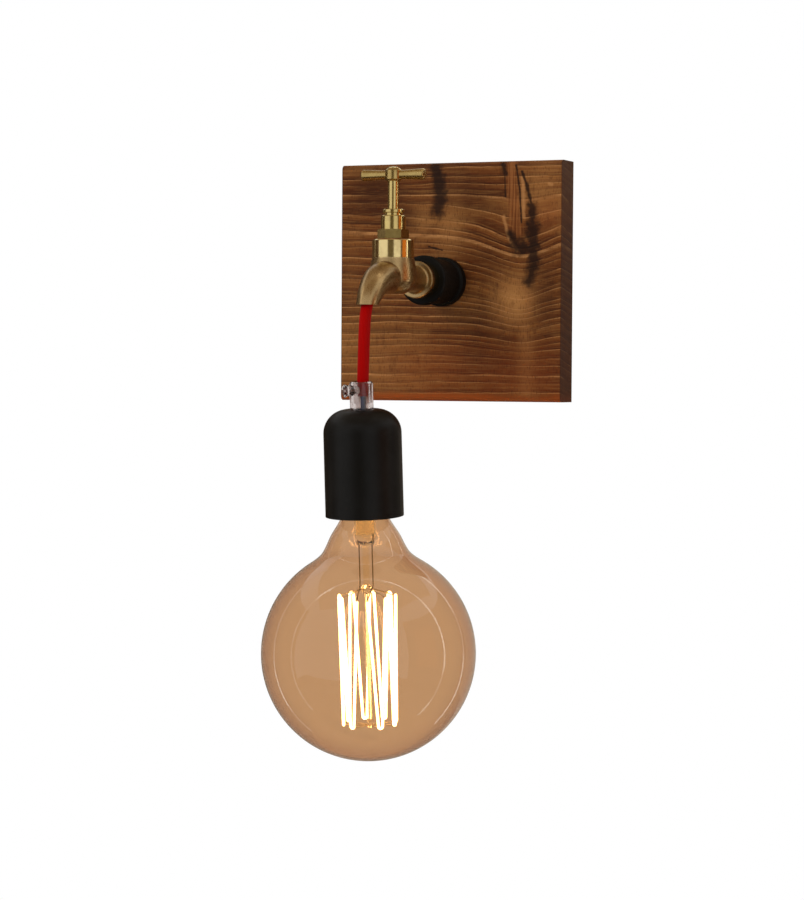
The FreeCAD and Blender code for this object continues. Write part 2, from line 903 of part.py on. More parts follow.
def gland_nut():
    stem_bottom = stuffing_box_floor + packing_height
    stem_radius = stuffing_box_radius - running_clearance
    nut = turned(
        (spindle_radius + running_clearance, stem_bottom),
        [
            (stem_radius, stem_bottom),
            (stem_radius, gland_flange_bottom),
            (gland_flange_radius - gland_edge, gland_flange_bottom),
            (gland_flange_radius, gland_flange_bottom + gland_edge),
            (gland_flange_radius, gland_flange_top - gland_edge),
            (gland_flange_radius - gland_edge, gland_flange_top),
            (spindle_radius + running_clearance, gland_flange_top),
        ],
    )
    return at_tap(nut)


# Moving pieces of the tap


def jumper_washer():
    start = vec(0, 0, washer_bottom)
    return at_tap(ring(jumper_washer_radius, jumper_shank_radius, jumper_washer_thickness, start))


def jumper_valve():
    shank_length = jumper_washer_thickness + jumper_nut_thickness
    valve = rod(jumper_shank_radius, shank_length, vec(0, 0, plate_bottom), -z_axis)
    valve = valve.fuse(rod(jumper_plate_radius, jumper_plate_thickness, vec(0, 0, plate_bottom)))
    valve = valve.fuse(rod(jumper_stem_radius, jumper_stem_length, vec(0, 0, plate_top)))
    return at_tap(valve)


def jumper_nut():
    bottom = washer_bottom - jumper_nut_thickness
    nut = prism(jumper_nut_across_flats, jumper_nut_thickness, bottom)
    start = vec(0, 0, bottom - overrun)
    return at_tap(nut.cut(rod(jumper_shank_radius, jumper_nut_thickness + 2 * overrun, start)))


def spindle():
    thread_top = stuffing_box_floor - loose_clearance
    square_top = boss_top - loose_clearance
    half = drive_square / 2
    body = turned(
        (0, spindle_bottom),
        [
            (spindle_thread_radius - spindle_edge, spindle_bottom),
            (spindle_thread_radius, spindle_bottom + spindle_edge),
            (spindle_thread_radius, thread_top - spindle_edge),
            (spindle_thread_radius - spindle_edge, thread_top),
            (spindle_radius, thread_top),
            (spindle_radius, boss_bottom),
            (0, boss_bottom),
        ],
    )
    body = body.fuse(box(vec(-half, -half, boss_bottom), vec(half, half, square_top)))
    socket_start = vec(0, 0, spindle_bottom - overrun)
    socket_radius = jumper_stem_radius + running_clearance
    body = body.cut(rod(socket_radius, spindle_socket_depth + overrun, socket_start))
    tapped_start = vec(0, 0, boss_top - handle_screw_length)
    return at_tap(body.cut(rod(handle_screw_radius, handle_screw_length, tapped_start)))


def t_handle():
    level = (boss_bottom + boss_top) / 2
    half_length = handle_length / 2
    boss = turned(
        (0, boss_bottom),
        [
            (handle_boss_radius - handle_boss_edge, boss_bottom),
            (handle_boss_radius, boss_bottom + handle_boss_edge),
            (handle_boss_radius, boss_top - handle_boss_edge),
            (handle_boss_radius - handle_boss_edge, boss_top),
            (0, boss_top),
        ],
    )
    round_mid = handle_arm_end_round * math.sqrt(0.5)
    straight_end = half_length - handle_arm_end_round
    arm = turned(
        (0, 0),
        [
            (handle_arm_root_radius, 0),
            (handle_arm_root_radius, handle_boss_radius),
            (handle_arm_end_radius, straight_end),
            (
                (handle_arm_end_radius - handle_arm_end_round + round_mid, straight_end + round_mid),
                (handle_arm_end_radius - handle_arm_end_round, half_length),
            ),
            (0, half_length),
        ],
    )
    handle = boss
    for side in (-1, 1):
        handle = handle.fuse(arm.rotated(origin, y_axis, side * 90).translated(vec(0, 0, level)))
    half = drive_square / 2
    square_low = vec(-half, -half, boss_bottom - overrun)
    handle = handle.cut(box(square_low, vec(half, half, boss_top - loose_clearance)))
    through = vec(0, 0, boss_top - handle_boss_height)
    handle = handle.cut(rod(handle_screw_radius, handle_boss_height + overrun, through))
    return at_tap(handle)


def handle_screw():
    edge_top = boss_top + handle_screw_head_edge
    dome_height = handle_screw_head_height - handle_screw_head_edge
    dome_radius = (handle_screw_head_radius**2 + dome_height**2) / (2 * dome_height)
    mid_r = handle_screw_head_radius / 2
    mid_rise = math.sqrt(dome_radius**2 - mid_r**2) - (dome_radius - dome_height)
    screw = turned(
        (0, boss_top),
        [
            (handle_screw_head_radius, boss_top),
            (handle_screw_head_radius, edge_top),
            ((mid_r, edge_top + mid_rise), (0, edge_top + dome_height)),
        ],
    )
    tip = vec(0, 0, boss_top - handle_screw_length)
    return at_tap(screw.fuse(rod(handle_screw_radius, handle_screw_length, tip)))


# Cord inside the tap, the flexing point in the mouth, and the free cord


def flex_point():
    return spout_point(flex_turn) + vec(axis_x, tap_y, middle_z)


def cord_inside():
    """From the recess through nipple, socket and tap, round the spout to the flexing point."""
    back = vec(axis_x, -inner_cord_end, middle_z)
    bend_start = vec(axis_x, tap_y - spout_start, middle_z)
    passed = spout_point(flex_turn / 2) + vec(axis_x, tap_y, middle_z)
    bend = Part.Arc(bend_start, passed, flex_point()).toShape()
    path = Part.Wire([Part.LineSegment(back, bend_start).toShape(), bend])
    tube = swept_tube(path, cord_radius)
    return tube.cut(Part.makeSphere(cord_radius + flex_clearance, flex_point()))


def cord_flex():
    return Part.makeSphere(cord_radius, flex_point())


def free_cord():
    lean = math.radians(pendant_lean)
    axis_up = vec(0, -math.sin(lean), math.cos(lean))
    start = flex_point()
    end = hung_point(cord_offset_in_grip())
    below_mouth = start + spout_direction(flex_turn) * cord_first_run
    above_grip = end + axis_up * cord_last_run
    bow = below_mouth + (above_grip - below_mouth) * cord_bow_share - vec(0, cord_bow, 0)
    path, radii = rounded_route([start, below_mouth, bow, above_grip, end])
    tube = swept_tube(path, cord_radius)
    expected = math.pi * cord_radius**2 * path.Length
    print("free cord: length", round(path.Length, 2), "arc radii", [round(r, 1) for r in radii])
    print("free cord: volume over section times length", round(tube.Volume / expected, 4))
    return tube.cut(Part.makeSphere(cord_radius + flex_clearance, flex_point()))


# Pendant: cord grip and the cord's end


def grip_screw_direction():
    angle = math.radians(grip_screw_heading)
    return vec(math.cos(angle), math.sin(angle), 0)


def cord_offset_in_grip():
    """Where the side screw pushes the cord: against the far side of the bore."""
    play = grip_bore_radius - cord_radius - running_clearance
    return grip_screw_direction() * -play


def cord_grip():
    grip = turned(
        (0, -grip_height - grip_stud_length),
        [
            (grip_stud_radius, -grip_height - grip_stud_length),
            (grip_stud_radius, -grip_height),
            (grip_radius, -grip_height),
            (grip_radius, -grip_edge),
            (grip_radius - grip_edge, 0),
            (0, 0),
        ],
    )
    centre = vec(0, 0, -grip_screw_depth)
    outward = grip_screw_direction()
    grip = grip.fuse(rod(grip_boss_radius, grip_boss_reach, centre, outward))
    length = grip_height + grip_stud_length + 2 * overrun
    grip = grip.cut(rod(grip_bore_radius, grip_bore_floor + overrun, vec(0, 0, overrun), -z_axis))
    grip = grip.cut(rod(grip_stud_bore_radius, length, vec(0, 0, overrun), -z_axis))
    grip = grip.cut(rod(grip_screw_radius, grip_boss_reach + overrun, centre, outward))
    return hung(grip)


def grip_screw():
    """Thumb screw drawn along Z from the grip's axis, its tip on the cord."""
    play = grip_bore_radius - cord_radius - running_clearance
    tip = cord_radius - play + running_clearance
    screw = turned(
        (0, tip),
        [
            (grip_screw_radius, tip),
            (grip_screw_radius, grip_screw_head_start),
            (grip_screw_neck_radius, grip_screw_head_start),
            (grip_screw_head_radius, grip_screw_head_end - grip_screw_head_edge),
            (grip_screw_head_radius - grip_screw_head_edge, grip_screw_head_end),
            (0, grip_screw_head_end),
        ],
    )
    screw = screw.rotated(origin, y_axis, 90).rotated(origin, z_axis, grip_screw_heading)
    return hung(screw.translated(vec(0, 0, -grip_screw_depth)))


def cord_end():
    return hung(rod(cord_radius, cord_in_grip, cord_offset_in_grip(), -z_axis))


def holder_core(side):
    """One core, from the end of the sheath through the stud to its terminal."""
    turn_height = ceramic_top + holder_terminal_height + core_end_above_terminal
    across = cord_offset_in_grip() + vec(0, side * core_spacing / 2, 0)
    points = [
        across - vec(0, 0, cord_in_grip),
        across + vec(0, 0, turn_height),
        vec(0, side * holder_terminal_offset, turn_height),
        vec(0, side * holder_terminal_offset, ceramic_top + holder_terminal_height / 2),
    ]
    path = rounded_route(points)[0]
    return hung(swept_tube(path, core_radius))


# Pendant: cup, bracket and ceramic insert


def lampholder_cup():
    half = math.sqrt(0.5)
    hole = grip_stud_radius + cup_hole_clearance
    flat = cup_top_radius - cup_corner_radius
    shoulder = cup_top - cup_corner_radius
    inner_corner = cup_corner_radius - cup_wall
    cup = turned(
        (hole, cup_top),
        [
            (flat, cup_top),
            (
                (flat + cup_corner_radius * half, shoulder + cup_corner_radius * half),
                (cup_top_radius, shoulder),
            ),
            (cup_rim_radius, cup_rim),
            (cup_rim_radius - cup_wall, cup_rim),
            (cup_top_radius - cup_wall, shoulder),
            (
                (flat + inner_corner * half, shoulder + inner_corner * half),
                (flat, cup_top - cup_wall),
            ),
            (hole, cup_top - cup_wall),
        ],
    )
    return hung(cup)


def bracket_screw_places():
    reach = bracket_span / 2 + bracket_foot_length / 2
    return [vec(side * reach, 0, ceramic_top) for side in (-1, 1)]


def holder_bracket():
    """A strap bent like a bridge, its feet turned outwards, with a tapped boss under its middle."""
    side = bracket_span / 2
    tip = side + bracket_foot_length
    foot_top = ceramic_top + bracket_thickness
    bend = bracket_bend_radius
    bend_z = bracket_top - bend
    flat = side - bend
    outer_mid = bend * math.sqrt(0.5)
    inner_bend = bend - bracket_thickness
    inner_mid = inner_bend * math.sqrt(0.5)
    strap = outline(
        (-tip, ceramic_top),
        [
            (-tip, foot_top),
            (-side, foot_top),
            (-side, bend_z),
            ((-flat - outer_mid, bend_z + outer_mid), (-flat, bracket_top)),
            (flat, bracket_top),
            ((flat + outer_mid, bend_z + outer_mid), (side, bend_z)),
            (side, foot_top),
            (tip, foot_top),
            (tip, ceramic_top),
            (side - bracket_thickness, ceramic_top),
            (side - bracket_thickness, bend_z),
            ((flat + inner_mid, bend_z + inner_mid), (flat, bracket_top - bracket_thickness)),
            (-flat, bracket_top - bracket_thickness),
            ((-flat - inner_mid, bend_z + inner_mid), (bracket_thickness - side, bend_z)),
            (bracket_thickness - side, ceramic_top),
        ],
    )
    strap = strap.extrude(vec(0, bracket_width, 0)).translated(vec(0, -bracket_width / 2, 0))
    boss_height = bracket_thickness + bracket_boss_height
    strap = strap.fuse(rod(bracket_boss_radius, boss_height, vec(0, 0, bracket_top), -z_axis))
    through = boss_height + 2 * overrun
    strap = strap.cut(rod(grip_stud_radius, through, vec(0, 0, bracket_top + overrun), -z_axis))
    for place in bracket_screw_places():
        hole_start = place - vec(0, 0, overrun)
        strap = strap.cut(rod(bracket_screw_radius, bracket_thickness + 2 * overrun, hole_start))
    return hung(strap.removeSplitter())


def bracket_screws():
    screws = []
    for place in bracket_screw_places():
        seat = place + vec(0, 0, bracket_thickness)
        head = rod(bracket_screw_head_radius, bracket_screw_head_height, seat)
        screws.append(head.fuse(rod(bracket_screw_radius, bracket_screw_length, seat, -z_axis)))
    return hung(Part.makeCompound(screws))


def rivet_place(side, height):
    return vec(0, side * holder_terminal_offset, height)


def ceramic_body():
    body = turned(
        (0, ceramic_top),
        [
            (ceramic_radius - ceramic_edge, ceramic_top),
            (ceramic_radius, ceramic_top - ceramic_edge),
            (ceramic_radius, ceramic_bottom + ceramic_edge),
            (ceramic_radius - ceramic_edge, ceramic_bottom),
            (ceramic_mouth_radius, ceramic_bottom),
            (ceramic_mouth_radius, shell_bottom),
            (shell_bore_radius + shell_wall, shell_bottom),
            (shell_bore_radius + shell_wall, shell_top),
            (contact_pocket_radius, shell_top),
            (contact_pocket_radius, contact_ceiling),
            (0, contact_ceiling),
        ],
    )
    channel_half = contact_strip_width / 2 + loose_clearance
    channel_end = -holder_terminal_offset - contact_strip_width / 2 - loose_clearance
    channel = box(vec(-channel_half, channel_end, shell_top), vec(channel_half, 0, contact_ceiling))
    inside_shell = rod(shell_bore_radius + shell_wall, ceramic_height, vec(0, 0, shell_top))
    body = body.cut(channel.common(inside_shell))
    for side in (-1, 1):
        body = body.cut(rod(rivet_radius, ceramic_height, rivet_place(side, ceramic_top), -z_axis))
    for place in bracket_screw_places():
        depth = bracket_screw_length - bracket_thickness
        body = body.cut(rod(bracket_screw_radius, depth, place, -z_axis))
    return hung(body.removeSplitter())


def screw_shell():
    outer = shell_bore_radius + shell_wall
    shell = turned(
        (shell_bore_radius, shell_bottom),
        [
            (outer, shell_bottom),
            (outer, shell_top),
            (shell_flange_bore_radius, shell_top),
            (shell_flange_bore_radius, shell_top - shell_wall),
            (shell_bore_radius, shell_top - shell_wall),
        ],
    )
    return hung(shell)


def contact_rivets():
    """One rivet down to the screw shell, one to the root of the centre contact."""
    shell_rivet = rod(rivet_radius, ceramic_top - shell_top, rivet_place(1, ceramic_top), -z_axis)
    contact_rivet = rod(rivet_radius, ceramic_top - contact_ceiling, rivet_place(-1, ceramic_top), -z_axis)
    rivet_head = rod(rivet_radius, rivet_head_height, rivet_place(-1, contact_ceiling), -z_axis)
    contact_rivet = contact_rivet.fuse(rivet_head)
    return hung(Part.makeCompound([shell_rivet, contact_rivet]))


def centre_contact():
    half = contact_strip_width / 2
    low = vec(-half, -holder_terminal_offset, contact_strip_bottom)
    strip = box(low, vec(half, contact_strip_overlap, contact_strip_top))
    inside = shell_bore_radius - loose_clearance
    return hung(strip.common(rod(inside, ceramic_height, vec(0, 0, contact_strip_bottom - overrun))))


def holder_terminals():
    blocks = []
    for side in (-1, 1):
        centre = rivet_place(side, ceramic_top)
        half = vec(holder_terminal_width / 2, holder_terminal_depth / 2, 0)
        block = box(centre - half, centre + half + vec(0, 0, holder_terminal_height))
        inlet = centre + vec(0, 0, holder_terminal_height / 2)
        block = block.cut(rod(core_radius, holder_terminal_height, inlet))
        block = block.cut(holder_screw_shape(side, 0))
        blocks.append(block)
    return hung(Part.makeCompound(blocks))


def holder_screw_shape(side, tip):
    """A cheese-head screw through a terminal's outer wall, its tip this far from the core's axis."""
    height = ceramic_top + holder_terminal_height * 3 / 4
    outer = holder_terminal_offset + holder_terminal_depth / 2
    inner = holder_terminal_offset + tip
    direction = vec(0, side, 0)
    shank = rod(holder_screw_radius, outer - inner, vec(0, side * inner, height), direction)
    head = rod(holder_screw_head_radius, holder_screw_head_height, vec(0, side * outer, height), direction)
    return shank.fuse(head)


def holder_terminal_screws():
    return hung(Part.makeCompound([holder_screw_shape(side, core_radius) for side in (-1, 1)]))


# Bulb


def at_depth(depth):
    return cup_rim - depth


def neck_points(inset):
    """The neck's outline from its top to the globe, moved in by the wall where asked."""
    join_radius = math.sqrt(globe_radius**2 - (globe_centre_depth - neck_join_depth) ** 2)
    shrink = (globe_radius - inset) / globe_radius
    join_depth = globe_centre_depth - (globe_centre_depth - neck_join_depth) * shrink
    return {
        "top": (neck_top_radius - inset, at_depth(neck_top_depth)),
        "collar": (neck_collar_radius - inset, at_depth(neck_collar_depth)),
        "throat": (neck_throat_radius - inset, at_depth(neck_throat_depth)),
        "flare": (neck_flare_radius - inset, at_depth(neck_flare_depth)),
        "cheek": (neck_cheek_radius - inset, at_depth(neck_cheek_depth)),
        "foot": (neck_foot_radius - inset, at_depth(neck_foot_depth)),
        "sweep": (neck_sweep_radius - inset, at_depth(neck_sweep_depth)),
        "join": (join_radius * shrink, at_depth(join_depth)),
        "side": (globe_radius - inset, at_depth(globe_centre_depth)),
        "bottom": (0, at_depth(globe_centre_depth + globe_radius - inset)),
    }


def bulb_glass():
    outer = neck_points(0)
    inner = neck_points(glass_wall)
    moves = [
        outer["collar"],
        (outer["throat"], outer["flare"]),
        (outer["cheek"], outer["foot"]),
        (outer["sweep"], outer["join"]),
        (outer["side"], outer["bottom"]),
        inner["bottom"],
        (inner["side"], inner["join"]),
        (inner["sweep"], inner["foot"]),
        (inner["cheek"], inner["flare"]),
        (inner["throat"], inner["collar"]),
        inner["top"],
    ]
    return hung(turned(outer["top"], moves))


def bulb_cap():
    inner = cap_radius - cap_wall
    cap = turned(
        (inner, cap_bottom),
        [
            (cap_radius, cap_bottom),
            (cap_radius, cap_shoulder),
            (cap_shoulder_radius, cap_top),
            (cap_shoulder_radius - cap_wall, cap_top),
            (inner, cap_shoulder),
        ],
    )
    return hung(cap)


def cap_insulator():
    wide = cap_shoulder_radius - cap_wall
    body = turned(
        (0, cap_shoulder),
        [
            (wide, cap_shoulder),
            (wide, cap_top),
            (insulator_top_radius, insulator_top),
            (0, insulator_top),
        ],
    )
    return hung(body)


def cap_button():
    button = turned(
        (0, insulator_top),
        [
            (button_radius, insulator_top),
            (button_radius, button_top - button_edge),
            (button_radius - button_edge, button_top),
            (0, button_top),
        ],
    )
    return hung(button)


def glass_stem():
    """Flare, tube and press, with the rod and the two beads that carry the support wires."""
    flare_top = at_depth(neck_top_depth)
    tube_top = at_depth(stem_tube_top_depth)
    press_top = at_depth(press_top_depth)
    press_bottom = at_depth(press_bottom_depth)
    inner = stem_tube_radius - stem_tube_wall
    throat_r = stem_tube_radius + (stem_flare_radius - stem_tube_radius) / 4
    throat_z = tube_top + (flare_top - tube_top) / 2
    stem = turned(
        (inner, press_top),
        [
            (stem_tube_radius, press_top),
            (stem_tube_radius, tube_top),
            ((throat_r, throat_z), (stem_flare_radius, flare_top - stem_flare_thickness)),
            (stem_flare_radius, flare_top),
            ((throat_r - stem_tube_wall, throat_z + stem_flare_thickness / 2), (inner, tube_top)),
        ],
    )
    half = vec(press_width / 2, press_thickness / 2, 0)
    press = box(vec(0, 0, press_bottom) - half, vec(0, 0, press_top) + half)
    upright = [edge for edge in press.Edges if abs(edge.tangentAt(edge.FirstParameter).z) > 0.99]
    press = press.makeFillet(press_thickness / 3, upright)
    shoulder = Part.makeSphere(stem_tube_radius, vec(0, 0, press_top))
    below = box(vec(-globe_radius, -globe_radius, press_bottom), vec(globe_radius, globe_radius, press_top))
    stem = stem.fuse(press).fuse(shoulder.common(below))
    upper_bead = at_depth(upper_bead_depth)
    lower_bead = at_depth(lower_bead_depth)
    stem = stem.fuse(rod(stem_rod_radius, press_bottom - upper_bead, vec(0, 0, press_bottom), -z_axis))
    stem = stem.fuse(Part.makeSphere(upper_bead_radius, vec(0, 0, upper_bead)))
    stem = stem.fuse(rod(stem_wire_radius, upper_bead - lower_bead, vec(0, 0, upper_bead), -z_axis))
    stem = stem.fuse(Part.makeSphere(lower_bead_radius, vec(0, 0, lower_bead)))
    for side in (-1, 1):
        lead_start = vec(side * lead_spread, 0, press_bottom)
        stem = stem.cut(rod(lead_wire_radius, press_top - press_bottom, lead_start))
    return hung(stem)


def hook_places():
    """Top and bottom turns of the filament in order, as (angle, radius, depth, away) rows."""
    count = 2 * bottom_hook_count + 1
    rows = []
    for step in range(count):
        angle = math.radians(cage_heading + (step + 0.5) * 360 / count)
        if step % 2 == 0:
            rows.append((angle, cage_top_radius, filament_top_depth, 1))
        else:
            rows.append((angle, cage_bottom_radius, filament_bottom_depth, -1))
    return rows


def hook_point(row, round_share, along_share):
    """A point on the turn at one hook, in shares of the turn's radius round and along the cage."""
    angle, radius, depth, away = row
    centre = vec(radius * math.cos(angle), radius * math.sin(angle), at_depth(depth))
    tangent = vec(-math.sin(angle), math.cos(angle), 0)
    up = vec(0, 0, away)
    offset = tangent * round_share + up * along_share
    return centre + offset * filament_turn_radius


def filament():
    rows = hook_places()
    spacing = 2 * math.pi * cage_top_radius / len(rows)
    run = filament_bottom_depth - filament_top_depth
    lean = math.atan((spacing - 2 * filament_turn_radius) / run)
    side_share = math.cos(lean)
    rise_share = math.sin(lean)
    edges = []
    here = hook_point(rows[0], 0, 0)
    for row in rows[1:-1]:
        arrive = hook_point(row, -side_share, rise_share)
        leave = hook_point(row, side_share, rise_share)
        edges.append(Part.LineSegment(here, arrive).toShape())
        edges.append(Part.Arc(arrive, hook_point(row, 0, 1), leave).toShape())
        here = leave
    edges.append(Part.LineSegment(here, hook_point(rows[-1], 0, 0)).toShape())
    return hung(swept_tube(Part.Wire(edges), filament_radius))


def wire_along(points, radius):
    """A thin wire of straight pieces with a ball at each corner."""
    wire = None
    for start, end in zip(points, points[1:]):
        piece = rod(radius, start.distanceToPoint(end), start, end - start)
        wire = piece if wire is None else wire.fuse(piece)
    for corner in points[1:-1]:
        wire = wire.fuse(Part.makeSphere(radius, corner))
    return wire


def lead_wires():
    rows = hook_places()
    wires = []
    for side, row in ((1, rows[0]), (-1, rows[-1])):
        end = hook_point(row, 0, 0) + vec(0, 0, filament_radius)
        points = [
            vec(side * lead_spread, 0, at_depth(press_top_depth)),
            vec(side * lead_spread, 0, at_depth(lead_bend_depth)),
            end,
        ]
        wires.append(wire_along(points, lead_wire_radius))
    return hung(Part.makeCompound(wires))


def support_wires():
    """Hooks from the two beads to the filament's turns, each ending just short of the strand's inside."""
    wires = []
    for row in hook_places()[1:-1]:
        angle, radius, depth, away = row
        bead_depth = upper_bead_depth if away > 0 else lower_bead_depth
        bead_radius = upper_bead_radius if away > 0 else lower_bead_radius
        outward = vec(math.cos(angle), math.sin(angle), 0)
        start = vec(0, 0, at_depth(bead_depth)) + outward * bead_radius
        inner = radius - filament_radius - support_wire_radius - running_clearance
        end = outward * inner + vec(0, 0, at_depth(depth) + away * filament_turn_radius)
        wires.append(rod(support_wire_radius, start.distanceToPoint(end), start, end - start))
    return hung(Part.makeCompound(wires))


pieces = {
    "wood_block": wood_block,
    "hanger_plates": hanger_plates,
    "hanger_screws": hanger_screws,
    "terminal_block": terminal_block,
    "terminal_barrels": terminal_barrel_tubes,
    "terminal_screws": terminal_screws,
    "terminal_block_screw": block_screw,
    "pipe_nipple": pipe_nipple,
    "nut_washer": nut_washer,
    "back_nut": back_nut,
    "pipe_socket": pipe_socket,
    "tap_body": tap_body,
    "bonnet_washer": bonnet_washer,
    "bonnet": bonnet,
    "gland_packing": gland_packing,
    "gland_nut": gland_nut,
    "jumper_washer": jumper_washer,
    "jumper_valve": jumper_valve,
    "jumper_nut": jumper_nut,
    "spindle": spindle,
    "t_handle": t_handle,
    "handle_screw": handle_screw,
    "cord_inside": cord_inside,
    "cord_flex": cord_flex,
    "cord": free_cord,
    "cord_end": cord_end,
    "cord_grip": cord_grip,
    "grip_screw": grip_screw,
    "lampholder_cup": lampholder_cup,
    "holder_bracket": holder_bracket,
    "bracket_screws": bracket_screws,
    "ceramic_body": ceramic_body,
    "screw_shell": screw_shell,
    "contact_rivets": contact_rivets,
    "centre_contact": centre_contact,
    "holder_terminals": holder_terminals,
    "holder_terminal_screws": holder_terminal_screws,
    "bulb_glass": bulb_glass,
    "bulb_cap": bulb_cap,
    "cap_insulator": cap_insulator,
    "cap_button": cap_button,
    "glass_stem": glass_stem,
    "lead_wires": lead_wires,
    "support_wires": support_wires,
    "filament": filament,
}

os.makedirs("parts", exist_ok=True)
for name, make in pieces.items():
    save(name, make())
for side, colour in ((-1, "blue"), (1, "brown")):
    save("recess_core_" + colour, recess_core(side))
    save("holder_core_" + colour, holder_core(side))
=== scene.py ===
import math

import bmesh
import bpy
from mathutils import Matrix, Vector
from mathutils.geometry import interpolate_bezier


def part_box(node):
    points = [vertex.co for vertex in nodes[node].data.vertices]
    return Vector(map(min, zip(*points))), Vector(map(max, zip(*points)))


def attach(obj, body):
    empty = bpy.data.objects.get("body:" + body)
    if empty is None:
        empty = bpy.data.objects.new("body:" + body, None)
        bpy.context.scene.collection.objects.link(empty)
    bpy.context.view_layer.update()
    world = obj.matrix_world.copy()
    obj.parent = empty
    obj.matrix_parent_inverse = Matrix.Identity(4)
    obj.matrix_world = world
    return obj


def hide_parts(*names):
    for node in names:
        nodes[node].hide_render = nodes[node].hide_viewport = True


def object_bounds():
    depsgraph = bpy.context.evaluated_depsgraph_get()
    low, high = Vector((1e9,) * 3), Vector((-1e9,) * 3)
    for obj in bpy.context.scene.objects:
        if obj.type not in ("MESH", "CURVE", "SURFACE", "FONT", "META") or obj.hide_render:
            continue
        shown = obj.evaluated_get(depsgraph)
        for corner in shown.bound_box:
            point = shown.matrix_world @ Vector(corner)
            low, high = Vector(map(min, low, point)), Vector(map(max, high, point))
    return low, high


# Looks for the tap wall lamp. Everything is in metres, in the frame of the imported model:
# +X right, +Y into the wall, +Z up, with the origin between the two hanging holes.

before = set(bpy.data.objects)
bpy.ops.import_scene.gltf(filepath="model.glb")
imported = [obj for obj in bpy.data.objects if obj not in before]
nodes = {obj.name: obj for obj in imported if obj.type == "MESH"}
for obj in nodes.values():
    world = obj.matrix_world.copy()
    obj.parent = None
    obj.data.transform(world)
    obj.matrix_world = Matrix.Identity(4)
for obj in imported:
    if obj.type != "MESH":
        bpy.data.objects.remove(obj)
cad_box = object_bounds()

# Camera, from the perspective of the block's and the lamp's edges in the photograph. Its angles
# are in degrees.
IMAGE_HEIGHT_PX = 900
FOCAL_PX = 2661.6
SENSOR_MM = 36.0
CLIP_NEAR = 0.05
CLIP_FAR = 50
CAMERA_AZIMUTH = 24.095
CAMERA_PITCH = -1.714
CAMERA_ROLL = 0.377
CAMERA_DISTANCE = 1.6243
CAMERA_TARGET = Vector((-0.01356, -0.0600, -0.14362))

# Route of the free cord. Its ends are those of the part's source, and in between its middle line
# is up to 0.7 mm from the CAD cord's, a little further right and nearer the wall.
CORD_DIAMETER = 0.0068
CORD_ROUND_STEPS = 12
CORD_LENGTH_STEPS = 24
CORD_ROUTE = [
    (-0.003500, -0.132794, -0.055561),
    (-0.003500, -0.135972, -0.061798),
    (-0.002700, -0.139100, -0.073720),
    (-0.002300, -0.140900, -0.091605),
    (-0.002795, -0.140332, -0.101574),
]

# Routes of the hidden stretches: in from the recess and round the spout's bend, then the short
# knuckle that flexes at the mouth, then down the pendant's axis to the sleeve's end in the grip.
# Swells are shares of the cord's radius, point by point.
INSIDE_ROUTE = [
    (-0.003500, -0.008000, -0.040000),
    (-0.003500, -0.099363, -0.040000),
    (-0.003500, -0.115437, -0.040000),
    (-0.003500, -0.129145, -0.048400),
    (-0.003500, -0.132794, -0.055561),
]
FLEX_ROUTE = [
    (-0.003500, -0.131614, -0.053244),
    (-0.003500, -0.132204, -0.054403),
    (-0.003500, -0.132794, -0.055561),
    (-0.003500, -0.133384, -0.056719),
    (-0.003500, -0.133974, -0.057878),
]
FLEX_SWELLS = (0.62, 0.93, 1.02, 0.93, 0.62)
GRIPPED_ROUTE = [
    (-0.002795, -0.140332, -0.101574),
    (-0.002795, -0.140000, -0.105800),
    (-0.002795, -0.139673, -0.109948),
]
GRIPPED_SWELLS = (1.0, 1.0, 0.94)

# Places that looks and stage follow: where the tap's upright axis crosses its level one, the top
# of the cord grip, and the pendant's lean in degrees
TAP_AXIS = Vector((-0.0035, -0.0973, -0.0400))
PENDANT_TOP = Vector((-0.0035, -0.1413, -0.10165))
PENDANT_LEAN = 4.5

# Glass envelope. Its outline runs down the neck to where the globe starts, as radius and depth
# below the cup's rim. The globe is a hair smaller than the CAD model's 63 mm radius, so that the
# mesh stays inside its box.
RIM_BELOW_TOP = 0.0785
NECK_OUTLINE = [
    (0.0126, -0.0089),
    (0.0129, -0.0046),
    (0.0134, -0.0009),
    (0.0152, 0.0034),
    (0.0202, 0.0114),
    (0.0236, 0.0184),
    (0.0264, 0.0227),
]
NECK_JOIN_DEPTH = 0.0276
GLOBE_RADIUS = 0.06297
GLOBE_CENTRE_DEPTH = 0.0813
GLASS_WALL = 0.0009
NECK_STEPS = 6
GLOBE_RINGS = 76
ENVELOPE_TURNS = 128


def put_in_scene(name, data):
    """A new object that holds this data, linked to the scene."""
    made = bpy.data.objects.new(name, data)
    bpy.context.scene.collection.objects.link(made)
    return made


def finished_mesh(name, build):
    """Mesh data from a bmesh, which is freed."""
    data = bpy.data.meshes.new(name)
    build.to_mesh(data)
    build.free()
    return data


def make_camera():
    """The photograph's camera: it looks at CAMERA_TARGET, and its roll turns about that line."""
    azimuth = math.radians(CAMERA_AZIMUTH)
    pitch = math.radians(CAMERA_PITCH)
    roll = math.radians(CAMERA_ROLL)
    ahead = Vector(
        (
            -math.sin(azimuth) * math.cos(pitch),
            math.cos(azimuth) * math.cos(pitch),
            math.sin(pitch),
        )
    )
    level = Vector((math.cos(azimuth), math.sin(azimuth), 0))
    upright = level.cross(ahead)
    right = level * math.cos(roll) + upright * math.sin(roll)
    up = upright * math.cos(roll) - level * math.sin(roll)
    data = bpy.data.cameras.new("camera")
    data.sensor_width = SENSOR_MM
    data.lens = FOCAL_PX / IMAGE_HEIGHT_PX * SENSOR_MM
    data.clip_start = CLIP_NEAR
    data.clip_end = CLIP_FAR
    camera = put_in_scene("camera", data)
    turn = Matrix((right, up, -ahead)).transposed().to_4x4()
    camera.matrix_world = Matrix.Translation(CAMERA_TARGET - ahead * CAMERA_DISTANCE) @ turn
    bpy.context.scene.camera = camera


